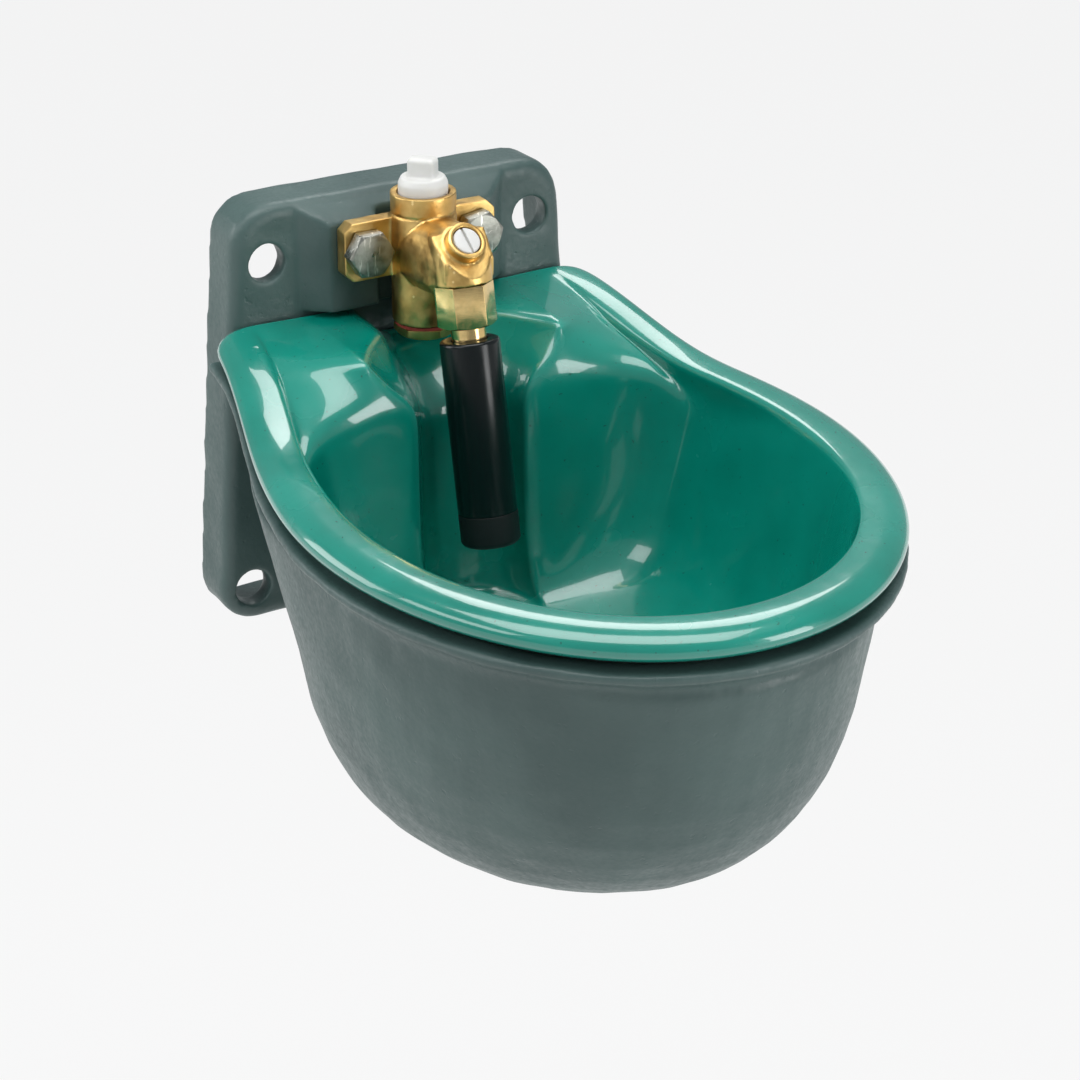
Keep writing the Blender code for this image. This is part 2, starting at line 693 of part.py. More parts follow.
def shell_cavity_rings():
    rear_y = PLATE_FRONT_Y + PLATE_RELIEF
    opening = [
        rim_ring(LIP_INNER_INSET, rear_y, lip_height(SHOULDER_DROP - SHELL_WALL), shift=0.4),
        rim_ring(LIP_INNER_INSET, rear_y, lip_height(0.0), shift=0.4),
    ]
    return shell_form(-SHELL_WALL, SHOULDER_DROP, opening)


def plate_outline(inset):
    """Corner points of the plate's outline, bottom left first."""
    return [
        (-PLATE_HALF_BOTTOM + inset, PLATE_BOTTOM + inset),
        (PLATE_HALF_BOTTOM - inset, PLATE_BOTTOM + inset),
        (PLATE_HALF_TOP - inset, PLATE_TOP - inset),
        (-PLATE_HALF_TOP + inset, PLATE_TOP - inset),
    ]


def rounded_outline(corners, radius, steps=4):
    """Round each corner of a convex outline with an arc."""
    outline = []
    count = len(corners)
    for i in range(count):
        corner = Vector(corners[i])
        before = (Vector(corners[i - 1]) - corner).normalized()
        after = (Vector(corners[(i + 1) % count]) - corner).normalized()
        half_angle = before.angle(after) / 2
        centre = corner + (before + after).normalized() * (radius / math.sin(half_angle))
        start = corner + before * (radius / math.tan(half_angle)) - centre
        end = corner + after * (radius / math.tan(half_angle)) - centre
        turn = math.atan2(start.x * end.y - start.y * end.x, start.dot(end))
        for k in range(steps + 1):
            spot = centre + Matrix.Rotation(turn * k / steps, 2) @ start
            outline.append((spot.x, spot.y))
    return outline


def slab_mesh(name, outline, near_y, far_y):
    """A slab whose outline lies in X and Z, between two depths."""
    rings = [[(x, y, z) for x, z in outline] for y in (far_y, near_y)]
    return loft_mesh(name, rings)


def plate_mesh():
    edge = PLATE_EDGE
    rings = []
    for inset, y in ((0.0, 0.0), (0.0, PLATE_FRONT_Y + edge), (edge * 0.3, PLATE_FRONT_Y + edge * 0.3),
                     (edge, PLATE_FRONT_Y)):
        outline = rounded_outline(plate_outline(inset), PLATE_CORNER - inset * 0.5)
        rings.append([(x, y, z) for x, z in outline])
    return loft_mesh("plate", rings)


def pad_mesh():
    """The raised pad that carries the valve, with sloped flanks and a sloped top."""
    foot_z = SHELF_Z + PAD_FOOT_LIFT
    top_z = PLATE_TOP - PLATE_EDGE
    base_half = PAD_HALF + PAD_FLANK
    inner_y = PLATE_FRONT_Y + PLATE_WALL / 2
    base = [(-base_half, foot_z), (base_half, foot_z), (base_half, top_z), (-base_half, top_z)]
    face = [(-PAD_HALF, foot_z), (PAD_HALF, foot_z), (PAD_HALF, top_z - PAD_TOP_SLOPE),
            (-PAD_HALF, top_z - PAD_TOP_SLOPE)]
    rings = [[(x, inner_y, z) for x, z in base]]
    rings.append([(x, PLATE_FRONT_Y - GAP, z) for x, z in base])
    rings.append([(x, PAD_FRONT_Y, z) for x, z in face])
    return loft_mesh("pad", rings)


def hole_places():
    upper = PLATE_HALF_TOP - UPPER_HOLE_INSET
    lower = PLATE_HALF_BOTTOM - LOWER_HOLE_INSET
    return {
        "upper_left": (-upper, UPPER_HOLE_Z),
        "upper_right": (upper, UPPER_HOLE_Z),
        "lower_left": (-lower, LOWER_HOLE_Z),
        "lower_right": (lower, LOWER_HOLE_Z),
    }


def pan_outline(low_z, high_z):
    """Outline of a hollow behind the plate, inside its turned-back sides."""
    def half_at(z):
        share = (z - PLATE_BOTTOM) / (PLATE_TOP - PLATE_BOTTOM)
        return mix(PLATE_HALF_BOTTOM, PLATE_HALF_TOP, share) - PLATE_SIDE
    low_half = half_at(low_z)
    high_half = half_at(high_z)
    return [(-low_half, low_z), (low_half, low_z), (high_half, high_z), (-high_half, high_z)]


def neck_mesh():
    """The block that ties the back of the shell to the plate."""
    top_z = rim_height(PLATE_FRONT_Y) - LIP_DROP - NECK_TOP_DROP
    low = (-NECK_HALF, PLATE_FRONT_Y - NECK_REACH, PLATE_BOTTOM + PLATE_EDGE)
    high = (NECK_HALF, PLATE_FRONT_Y + PLATE_WALL / 2, top_z)
    return box_mesh("neck", low, high)


def make_outer_housing():
    housing = add_part("outer_housing", loft_mesh("outer_housing", outer_shell_rings()), CAST_GREY)
    join(housing, plate_mesh(), "plate")
    join(housing, pad_mesh(), "pad")
    join(housing, neck_mesh(), "neck")
    cut(housing, loft_mesh("shell_cavity", shell_cavity_rings()), "shell_cavity")
    shell_middle_z = SHELL_BOTTOM_Z + SHELL_WALL / 2
    for number, y in enumerate(BOWL_BOSS_Y):
        post = boss_mesh("post", BOSS_RADIUS, 0, y, shell_middle_z, BOWL_BOSS_END_Z - GAP)
        join(housing, post, "post_" + str(number))
        face = boss_mesh("spot_face", SPOT_FACE_RADIUS, 0, y, spot_face_z(), shell_middle_z)
        join(housing, face, "spot_face_" + str(number))
    gland_boss = boss_mesh("gland_boss", GLAND_BOSS_RADIUS, 0, GLAND_Y, GLAND_BOSS_BOTTOM_Z, GLAND_BOSS_TOP_Z)
    join(housing, gland_boss, "gland_boss")
    for number, y in enumerate(BOWL_BOSS_Y):
        bore = boss_mesh("bore", BOLT_M8_RADIUS + GAP, 0, y, spot_face_z() - OVERSHOOT,
                         BOWL_BOSS_END_Z + OVERSHOOT)
        cut(housing, bore, "bore_" + str(number))
    gland_hole = boss_mesh("gland_hole", GLAND_THREAD_RADIUS + GAP, 0, GLAND_Y,
                           GLAND_BOSS_BOTTOM_Z - OVERSHOOT, GLAND_BOSS_TOP_Z + OVERSHOOT)
    cut(housing, gland_hole, "gland_hole")
    pan_y = PLATE_FRONT_Y + PLATE_WALL
    rib = REAR_RIB_HEIGHT / 2
    for label, low_z, high_z in (("upper_pan", rib, PLATE_TOP - PLATE_SIDE),
                                 ("lower_pan", PLATE_BOTTOM + PLATE_SIDE, -rib)):
        outline = rounded_outline(pan_outline(low_z, high_z), PLATE_CORNER - PLATE_SIDE)
        cut(housing, slab_mesh(label, outline, pan_y, OVERSHOOT), label)
    for label, (x, z) in hole_places().items():
        seat = rod_mesh("seat", WASHER_SEAT_RADIUS, (x, PLATE_FRONT_Y - WASHER_SEAT_PROUD, z),
                        (x, PLATE_FRONT_Y + PLATE_WALL / 2, z), steps=FINE_STEPS)
        join(housing, seat, "seat_" + label)
        hole = rod_mesh(label, HOLE_DIAMETER / 2, (x, PLATE_FRONT_Y - OVERSHOOT, z),
                        (x, pan_y + OVERSHOOT, z), steps=SMALL_STEPS)
        cut(housing, hole, "hole_" + label)
    groove = box_mesh("pipe_groove", (-PIPE_GROOVE_HALF, PAD_FRONT_Y - OVERSHOOT, SHELF_Z),
                      (PIPE_GROOVE_HALF, PAD_FRONT_Y + PIPE_GROOVE_DEPTH, PLATE_TOP + OVERSHOOT))
    cut(housing, groove, "pipe_groove")
    for side in (-1, 1):
        x = side * BOLT_SPACING / 2
        tapped = rod_mesh("tapped", BOLT_M10_RADIUS + GAP, (x, PAD_FRONT_Y - OVERSHOOT, FLANGE_Z),
                          (x, pan_y + OVERSHOOT, FLANGE_Z), steps=SMALL_STEPS)
        cut(housing, tapped, "tapped_" + ("left" if side < 0 else "right"))
    return housing


def spot_face_z():
    return SHELL_BOTTOM_Z - SPOT_FACE_PROUD


def bowl_bolt_top_z():
    return spot_face_z() - WASHER_THICKNESS - 2 * GAP + BOLT_M8_LENGTH


def make_rim_seal():
    """A round rubber cord between the bowl's rim and the housing's lip, open at the plate."""
    rear_y = PLATE_FRONT_Y - 2 * SEAL_RADIUS
    drop = RIM_HALF_HEIGHT + GAP + SEAL_RADIUS
    ring = rim_ring(SEAL_INSET, rear_y, lip_height(drop))
    right_half = ring[NOTCH_STEPS + CORNER_STEPS:len(ring) // 2 + 1]
    left_half = [(-x, y, z) for x, y, z in reversed(right_half[:-1])]
    wire_part("rim_seal", right_half + left_half, SEAL_RADIUS, BLACK_RUBBER)


def make_liner():
    """The insulation cup that lies against the inside of the shell."""
    outer_grow = -SHELL_WALL - GAP
    inner_grow = outer_grow - LINER_THICKNESS
    floor_z = SHELL_BOTTOM_Z - outer_grow
    inner_floor_z = floor_z + LINER_FLOOR
    levels = [share for share in SHELL_LEVELS if share <= LINER_TOP_SHARE]
    rings = [shell_floor(outer_grow)]
    rings += [shell_level(share, outer_grow) for share in levels]
    top_z = rings[-1][0][2]
    rings.append([(x, y, top_z) for x, y, _ in shell_level(levels[-1], inner_grow)])
    for share in reversed(levels[:-1]):
        rings.append([(x, y, max(z, inner_floor_z)) for x, y, z in shell_level(share, inner_grow)])
    liner = add_part("insulation_liner", loft_mesh("insulation_liner", rings), GREY_FOAM)
    for number, y in enumerate(BOWL_BOSS_Y):
        hole = boss_mesh("hole", BOSS_RADIUS + 3 * GAP, 0, y, SHELL_BOTTOM_Z, inner_floor_z + OVERSHOOT)
        cut(liner, hole, "hole_" + str(number))
    gland_hole = boss_mesh("gland_hole", GLAND_BOSS_RADIUS + 3 * GAP, 0, GLAND_Y, SHELL_BOTTOM_Z,
                           GLAND_BOSS_TOP_Z + LINER_GLAND_CLEARANCE)
    cut(liner, gland_hole, "gland_hole")


def make_heating_cable():
    """Turns of heating cable laid round the bowl's lower wall and the back of the tube channel."""
    points = []
    count = 2 * (NOTCH_STEPS + REAR_STEPS + FRONT_STEPS)
    grow = BOWL_WALL + CABLE_RADIUS + 2 * GAP
    edge_z = crest_height(RIM_WIDE_Y) - BOWL_WALL
    for step in range(CABLE_TURNS * count + 1):
        z = CABLE_TOP_Z - CABLE_PITCH * step / count
        depth_share = (edge_z - z) / (edge_z + BOWL_WALL - CAVITY_FLOOR_Z)
        x, y, _ = cavity_ring(depth_share, grow, BOWL_WALL)[step % count]
        points.append((x, y, z))
    wire_part("heating_cable", points, CABLE_RADIUS, RED_SILICONE)


def bowl_underside_z():
    return CAVITY_FLOOR_Z - BOWL_WALL


def clip_top_z():
    return bowl_underside_z() - 2 * GAP - THERMOSTAT_HEIGHT


def make_thermostat():
    profile = [(0, 0), (THERMOSTAT_RADIUS, 0), (THERMOSTAT_RADIUS, -THERMOSTAT_HEIGHT * 0.6),
               (THERMOSTAT_RADIUS * 0.85, -THERMOSTAT_HEIGHT), (0, -THERMOSTAT_HEIGHT)]
    turned_part("thermostat", profile, STEEL, steps=SMALL_STEPS,
                location=(THERMOSTAT_X, THERMOSTAT_Y, bowl_underside_z() - GAP))
    low = (THERMOSTAT_X - THERMOSTAT_RADIUS, THERMOSTAT_Y - CLIP_WIDTH / 2, clip_top_z() - CLIP_THICKNESS)
    high = (clip_screw_x() + CLIP_WIDTH / 2, THERMOSTAT_Y + CLIP_WIDTH / 2, clip_top_z())
    clip = add_part("thermostat_clip", box_mesh("thermostat_clip", low, high), STEEL)
    hole = boss_mesh("hole", CLIP_SCREW_RADIUS + GAP, clip_screw_x(), THERMOSTAT_Y, low[2] - OVERSHOOT,
                     high[2] + OVERSHOOT, steps=SCREW_STEPS)
    cut(clip, hole, "hole")
    head_top = -CLIP_THICKNESS - GAP
    radius = CLIP_SCREW_RADIUS
    profile = [(0, CLIP_SCREW_LENGTH), (radius, CLIP_SCREW_LENGTH), (radius, head_top),
               (radius * 2, head_top), (radius * 1.6, head_top - radius), (0, head_top - radius)]
    turned_part("clip_screw", profile, STEEL, steps=SCREW_STEPS,
                location=(clip_screw_x(), THERMOSTAT_Y, clip_top_z()))


def make_cable_gland():
    place = {"location": (0, GLAND_Y, 0)}
    flange_top = GLAND_BOSS_BOTTOM_Z - GAP
    flange_bottom = flange_top - GLAND_FLANGE
    locknut_bottom = GLAND_BOSS_TOP_Z + GAP
    thread_top = locknut_bottom + GLAND_FLANGE + OVERSHOOT
    body_foot = flange_bottom - GLAND_THREAD_REACH
    hexagon = hex_mesh("gland_body", GLAND_BODY_FLATS, (0, 0, flange_bottom), (0, 0, flange_top))
    body = add_part("gland_body", hexagon, BRASS, **place)
    thread = rod_mesh("thread", GLAND_THREAD_RADIUS, (0, 0, body_foot), (0, 0, thread_top), steps=SMALL_STEPS)
    join(body, thread, "thread")
    bore = rod_mesh("bore", GLAND_BORE_RADIUS, (0, 0, body_foot - OVERSHOOT), (0, 0, thread_top + OVERSHOOT),
                    steps=SMALL_STEPS)
    cut(body, bore, "bore")
    hexagon = hex_mesh("gland_locknut", GLAND_FLATS, (0, 0, locknut_bottom),
                       (0, 0, locknut_bottom + GLAND_FLANGE))
    locknut = add_part("gland_locknut", hexagon, BRASS, **place)
    hole = rod_mesh("hole", GLAND_THREAD_RADIUS + GAP, (0, 0, locknut_bottom - OVERSHOOT),
                    (0, 0, locknut_bottom + GLAND_FLANGE + OVERSHOOT), steps=SMALL_STEPS)
    cut(locknut, hole, "hole")
    seal_top = body_foot - GAP
    seal_bottom = seal_top - GLAND_SEAL_HEIGHT
    seal_radius = GLAND_THREAD_RADIUS - GAP
    profile = [(seal_radius, seal_top), (seal_radius, seal_bottom), (GLAND_SEAL_BORE, seal_bottom),
               (GLAND_SEAL_BORE, seal_top)]
    turned_part("gland_seal", profile, BLACK_RUBBER, steps=SMALL_STEPS, closed=True, **place)
    nut_top = flange_bottom - GAP
    nut_bottom = seal_bottom - GAP - GLAND_NUT_FLOOR
    hexagon = hex_mesh("gland_nut", GLAND_FLATS, (0, 0, nut_bottom), (0, 0, nut_top))
    nut = add_part("gland_nut", hexagon, BRASS, **place)
    thread_bore = rod_mesh("thread_bore", GLAND_THREAD_RADIUS + GAP, (0, 0, seal_bottom - GAP),
                           (0, 0, nut_top + OVERSHOOT), steps=SMALL_STEPS)
    cut(nut, thread_bore, "thread_bore")
    mouth = rod_mesh("mouth", GLAND_BORE_RADIUS, (0, 0, nut_bottom - OVERSHOOT), (0, 0, seal_bottom),
                     steps=SMALL_STEPS)
    cut(nut, mouth, "mouth")


def make_hex_bolt(name, flats, head, radius, head_start, direction, shank_end, finish, turn=0.0):
    """A bolt whose head begins at a point and whose shank runs on along the direction."""
    start = Vector(head_start)
    along = Vector(direction)
    bolt = add_part(name, hex_mesh(name, flats, start - along * head, start, turn=turn), finish)
    shank = rod_mesh("shank", radius, start - along * head / 2, start + along * shank_end, steps=SMALL_STEPS)
    join(bolt, shank, "shank")
    return bolt


def make_bowl_bolts():
    for label, y in zip(("front", "rear"), BOWL_BOSS_Y):
        washer_top = spot_face_z() - GAP
        hole = BOLT_M8_RADIUS + GAP
        profile = [(WASHER_RADIUS, 0), (WASHER_RADIUS, -WASHER_THICKNESS),
                   (hole, -WASHER_THICKNESS), (hole, 0)]
        turned_part("bowl_washer_" + label, profile, STEEL, steps=SMALL_STEPS, closed=True,
                    location=(0, y, washer_top))
        head_top = washer_top - WASHER_THICKNESS - GAP
        make_hex_bolt("bowl_bolt_" + label, BOLT_M8_FLATS, BOLT_M8_HEAD, BOLT_M8_RADIUS, (0, y, head_top),
                      (0, 0, 1), bowl_bolt_top_z() - head_top, STEEL)


def axis_point(rise):
    """A point on the outlet axis, a distance above the foot of the union nut."""
    return Vector((0, NUT_FOOT_Y + rise * math.sin(TUBE_TILT), NUT_FOOT_Z + rise * math.cos(TUBE_TILT)))


def regulator_point(depth):
    """A point on the regulator's axis, a distance below its slotted face."""
    inward = Vector((0, math.cos(REGULATOR_TILT), -math.sin(REGULATOR_TILT)))
    return Vector((0, REGULATOR_Y, REGULATOR_Z)) + inward * depth


def bridge_mesh():
    """The block between the pipe column and the outlet, drawn along the outlet axis."""
    low = NUT_HEIGHT + GAP
    high = NUT_HEIGHT + BRIDGE_HEIGHT
    outline = []
    for i in range(SCREW_STEPS + 1):
        angle = math.pi + math.pi * i / SCREW_STEPS
        outline.append((OUTLET_RADIUS * math.cos(angle), OUTLET_RADIUS * math.sin(angle)))
    reach = (PIPE_Y - NUT_FOOT_Y) * math.cos(TUBE_TILT)
    waist = reach * BRIDGE_WAIST_SHARE
    outline += [(BRIDGE_HALF, waist), (BRIDGE_HALF, reach), (-BRIDGE_HALF, reach), (-BRIDGE_HALF, waist)]
    frame = Matrix.Translation((0, NUT_FOOT_Y, NUT_FOOT_Z)) @ Matrix.Rotation(-TUBE_TILT, 4, 'X')
    rings = [[frame @ Vector((x, y, height)) for x, y in outline] for height in (low, high)]
    return loft_mesh("bridge", rings)


def make_valve_body():
    flange_back_y = PAD_FRONT_Y - GAP
    flange_front_y = flange_back_y - FLANGE_THICKNESS
    half_height = FLANGE_HEIGHT / 2
    chamfer = FLANGE_CHAMFER
    corners = [(-FLANGE_HALF, -half_height + chamfer), (-FLANGE_HALF + chamfer, -half_height),
               (FLANGE_HALF - chamfer, -half_height), (FLANGE_HALF, -half_height + chamfer),
               (FLANGE_HALF, half_height - chamfer), (FLANGE_HALF - chamfer, half_height),
               (-FLANGE_HALF + chamfer, half_height), (-FLANGE_HALF, half_height - chamfer)]
    outline = [(x, z + FLANGE_Z) for x, z in corners]
    body = add_part("valve_body", slab_mesh("valve_body", outline, flange_front_y, flange_back_y), BRASS)
    column = rod_mesh("column", SOCKET_RADIUS, (0, PIPE_Y, PORT_BOTTOM_Z), (0, PIPE_Y, SOCKET_TOP_Z))
    join(body, column, "column")
    bridge = bridge_mesh()
    join(body, bridge, "bridge")
    top_cut = box_mesh("top_cut", (-FLANGE_HALF, regulator_point(0).y * 1.5, BRIDGE_TOP_Z),
                       (FLANGE_HALF, PIPE_Y - SOCKET_RADIUS - GAP, SOCKET_TOP_Z * 1.5))
    cut(body, top_cut, "top_cut")
    face_back = regulator_point(REGULATOR_BOSS_PROUD)
    face_far = regulator_point(-OUTLET_RADIUS * 3)
    slope_cut = rod_mesh("slope_cut", OUTLET_RADIUS * 3, face_back, face_far, steps=4, turn=math.pi / 4)
    cut(body, slope_cut, "slope_cut")
    boss = rod_mesh("boss", REGULATOR_BOSS_RADIUS, regulator_point(-GAP),
                    regulator_point(REGULATOR_BOSS_DEPTH), steps=FINE_STEPS)
    join(body, boss, "regulator_boss")
    spigot = rod_mesh("spigot", SPIGOT_RADIUS, axis_point(SPIGOT_START), axis_point(NUT_HEIGHT + OVERSHOOT),
                      steps=FINE_STEPS)
    join(body, spigot, "spigot")
    bore = rod_mesh("bore", PIPE_BORE, (0, PIPE_Y, PORT_BOTTOM_Z - OVERSHOOT),
                    (0, PIPE_Y, SOCKET_TOP_Z + OVERSHOOT), steps=FINE_STEPS)
    cut(body, bore, "pipe_bore")
    mouth = rod_mesh("mouth", SOCKET_MOUTH, (0, PIPE_Y, SOCKET_TOP_Z - SOCKET_MOUTH_DEPTH),
                     (0, PIPE_Y, SOCKET_TOP_Z + OVERSHOOT), steps=FINE_STEPS)
    cut(body, mouth, "mouth")
    chamber = rod_mesh("chamber", CHAMBER_RADIUS, axis_point(SPIGOT_START - OVERSHOOT),
                       axis_point(CHAMBER_TOP), steps=FINE_STEPS)
    cut(body, chamber, "chamber")
    passage_end = axis_point(CHAMBER_TOP - PASSAGE_RADIUS - OVERSHOOT)
    passage = rod_mesh("passage", PASSAGE_RADIUS, (0, PIPE_Y, passage_end.z), passage_end, steps=SCREW_STEPS)
    cut(body, passage, "passage")
    seat = rod_mesh("regulator_seat", REGULATOR_HEAD_RADIUS + GAP, regulator_point(-OVERSHOOT),
                    regulator_point(REGULATOR_DEPTH + GAP), steps=FINE_STEPS)
    cut(body, seat, "regulator_seat")
    for side in (-1, 1):
        x = side * BOLT_SPACING / 2
        hole = rod_mesh("hole", BOLT_M10_RADIUS + 2 * GAP, (x, flange_front_y - OVERSHOOT, FLANGE_Z),
                        (x, flange_back_y + OVERSHOOT, FLANGE_Z), steps=SMALL_STEPS)
        label = "left" if side < 0 else "right"
        cut(body, hole, "hole_" + label)
        make_hex_bolt("flange_bolt_" + label, BOLT_M10_FLATS, BOLT_M10_HEAD, BOLT_M10_RADIUS,
                      (x, flange_front_y - GAP, FLANGE_Z), (0, 1, 0), BOLT_M10_LENGTH, STEEL)
    return body


def make_outlet():
    """The union nut, the rubber seat in it and the tube that tilts in them."""
    foot = Vector((0, NUT_FOOT_Y, NUT_FOOT_Z))
    fixed = {"location": foot, "tilt": -TUBE_TILT}
    hexagon = hex_mesh("union_nut", NUT_FLATS, (0, 0, 0), (0, 0, NUT_HEIGHT))
    nut = add_part("union_nut", hexagon, POLISHED_BRASS, **fixed)
    bore = rod_mesh("bore", NUT_BORE, (0, 0, -OVERSHOOT), (0, 0, NUT_FLOOR + OVERSHOOT), steps=FINE_STEPS)
    thread = rod_mesh("thread", NUT_THREAD, (0, 0, NUT_FLOOR), (0, 0, NUT_HEIGHT + OVERSHOOT),
                      steps=FINE_STEPS)
    cut(nut, bore, "bore")
    cut(nut, thread, "thread")
    seat_low = NUT_FLOOR + GAP
    seat_high = seat_low + SEAT_HEIGHT
    seat_outer = NUT_THREAD - GAP
    profile = [(seat_outer, seat_high), (seat_outer, seat_low),
               (SEAT_BORE, seat_low), (SEAT_BORE, seat_high)]
    turned_part("rubber_seat", profile, BLACK_RUBBER, steps=FINE_STEPS, closed=True, **fixed)

    pivot = bpy.data.objects.new("tube_pivot", None)
    PARTS.objects.link(pivot)
    pivot.location = axis_point(PIVOT_RISE)
    pivot.rotation_euler = (-TUBE_TILT, 0, 0)

    foot_rise = SLEEVE_BOTTOM + OVERSHOOT - PIVOT_RISE
    head_low = -math.sqrt(HEAD_RADIUS ** 2 - TUBE_RADIUS ** 2)
    head_high = HEAD_TOP - PIVOT_RISE
    start_angle = math.asin(head_high / HEAD_RADIUS)
    end_angle = math.asin(head_low / HEAD_RADIUS)
    dome = []
    for i in range(5):
        angle = mix(start_angle, end_angle, i / 4)
        dome.append((HEAD_RADIUS * math.cos(angle), HEAD_RADIUS * math.sin(angle)))
    profile = [(TUBE_BORE, head_high)] + dome + [(TUBE_RADIUS, foot_rise), (TUBE_BORE, foot_rise)]
    turned_part("valve_tube", profile, POLISHED_BRASS, steps=FINE_STEPS, closed=True, parent=pivot)

    sleeve_top = SLEEVE_TOP - PIVOT_RISE
    tip_low = SLEEVE_BOTTOM - PIVOT_RISE
    tip_high = tip_low + TIP_HEIGHT
    inner = TUBE_RADIUS + GAP
    sleeve_low = tip_high + GAP
    profile = [(inner, sleeve_top), (SLEEVE_RADIUS - SLEEVE_ROUND, sleeve_top),
               (SLEEVE_RADIUS, sleeve_top - SLEEVE_ROUND), (SLEEVE_RADIUS, sleeve_low), (inner, sleeve_low)]
    turned_part("tube_sleeve", profile, BLACK_PLASTIC, steps=FINE_STEPS, closed=True, parent=pivot)
    profile = [(inner, tip_high), (SLEEVE_RADIUS, tip_high), (SLEEVE_RADIUS, tip_low + SLEEVE_ROUND),
               (SLEEVE_RADIUS - SLEEVE_ROUND, tip_low), (inner, tip_low)]
    turned_part("sleeve_tip", profile, BLACK_RUBBER, steps=FINE_STEPS, closed=True, parent=pivot)

    spring_low = head_high + GAP + SPRING_WIRE
    spring_high = CHAMBER_TOP - PIVOT_RISE - GAP - SPRING_WIRE
    total = SPRING_TURNS * SPRING_STEPS
    points = []
    for i in range(total + 1):
        angle = math.tau * i / SPRING_STEPS
        height = mix(spring_low, spring_high, i / total)
        points.append((SPRING_RADIUS * math.cos(angle), SPRING_RADIUS * math.sin(angle), height))
    wire_part("valve_spring", points, SPRING_WIRE, STEEL, parent=pivot)


def make_regulator():
    spin = bpy.data.objects.new("regulator_pivot", None)
    PARTS.objects.link(spin)
    spin.location = regulator_point(0)
    spin.rotation_euler = (math.pi / 2 - REGULATOR_TILT, 0, 0)
    head = REGULATOR_HEAD_RADIUS
    stem = REGULATOR_STEM_RADIUS
    profile = [(0, 0), (head - GAP, 0), (head, -GAP), (head, -REGULATOR_HEAD_HEIGHT),
               (stem, -REGULATOR_HEAD_HEIGHT), (stem, -REGULATOR_DEPTH + stem / 2),
               (stem / 2, -REGULATOR_DEPTH), (0, -REGULATOR_DEPTH)]
    screw = turned_part("regulator_screw", profile, WHITE_PLASTIC, steps=FINE_STEPS, parent=spin)
    slot = box_mesh("slot", (-SLOT_WIDTH / 2, -head - OVERSHOOT, -SLOT_DEPTH),
                    (SLOT_WIDTH / 2, head + OVERSHOOT, OVERSHOOT))
    cut(screw, slot, "slot")
    return spin


def make_regulator_ring(spin):
    middle = (REGULATOR_STEM_RADIUS + REGULATOR_HEAD_RADIUS + GAP) / 2
    ring = []
    for i in range(RING_POINTS):
        angle = math.tau * i / RING_POINTS
        ring.append((middle * math.cos(angle), middle * math.sin(angle), -RING_DEPTH))
    wire_part("regulator_ring", ring, RING_WIRE, BLACK_RUBBER, cyclic=True, parent=spin)


def make_plugs():
    top = {"location": (0, PIPE_Y, SOCKET_TOP_Z)}
    collar = PLUG_COLLAR
    profile = [(0, collar), (PLUG_COLLAR_TOP_RADIUS, collar), (PLUG_RADIUS, collar * 0.55),
               (PLUG_RADIUS, -SOCKET_MOUTH_DEPTH + GAP), (PLUG_THREAD_RADIUS, -SOCKET_MOUTH_DEPTH + GAP),
               (PLUG_THREAD_RADIUS, -PLUG_INSERT), (0, -PLUG_INSERT)]
    plug = turned_part("transport_plug", profile, WHITE_PLASTIC, steps=FINE_STEPS, **top)
    tab = box_mesh("tab", (-PLUG_TAB_WIDTH / 2, -PLUG_TAB_DEPTH / 2, collar / 2),
                   (PLUG_TAB_WIDTH / 2, PLUG_TAB_DEPTH / 2, collar + PLUG_TAB_HEIGHT))
    tab.transform(Matrix.Rotation(PLUG_TAB_TURN, 4, 'Z'))
    join(plug, tab, "tab")

    seal_top = PORT_BOTTOM_Z - GAP
    head_top = seal_top - BLANK_SEAL_THICKNESS - GAP
    profile = [(BLANK_SEAL_RADIUS, 0), (BLANK_SEAL_RADIUS, -BLANK_SEAL_THICKNESS),
               (PIPE_BORE, -BLANK_SEAL_THICKNESS), (PIPE_BORE, 0)]
    turned_part("port_seal", profile, RED_FIBRE, steps=FINE_STEPS, closed=True,
                location=(0, PIPE_Y, seal_top))
    head_bottom = head_top - BLANK_HEAD_HEIGHT
    hexagon = hex_mesh("port_plug", BLANK_HEAD_FLATS, (0, PIPE_Y, head_bottom), (0, PIPE_Y, head_top))
    blank = add_part("port_plug", hexagon, BRASS)
    shank = rod_mesh("shank", PLUG_THREAD_RADIUS, (0, PIPE_Y, head_bottom + BLANK_HEAD_HEIGHT / 2),
                     (0, PIPE_Y, PORT_BOTTOM_Z + BLANK_INSERT), steps=FINE_STEPS)
    join(blank, shank, "shank")


make_outer_housing()
make_inner_bowl()
make_rim_seal()
make_liner()
make_heating_cable()
make_thermostat()
make_cable_gland()
make_bowl_bolts()
make_valve_body()
make_outlet()
make_regulator_ring(make_regulator())
make_plugs()
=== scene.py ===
"""Looks of the heated drinking bowl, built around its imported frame.

Frame: the wall is the plane y = 0, the bowl reaches out towards -Y, X is to the right and Z is up.
All sizes are in metres.
"""
import math

import bmesh
import bpy
from mathutils import Matrix, Vector, noise


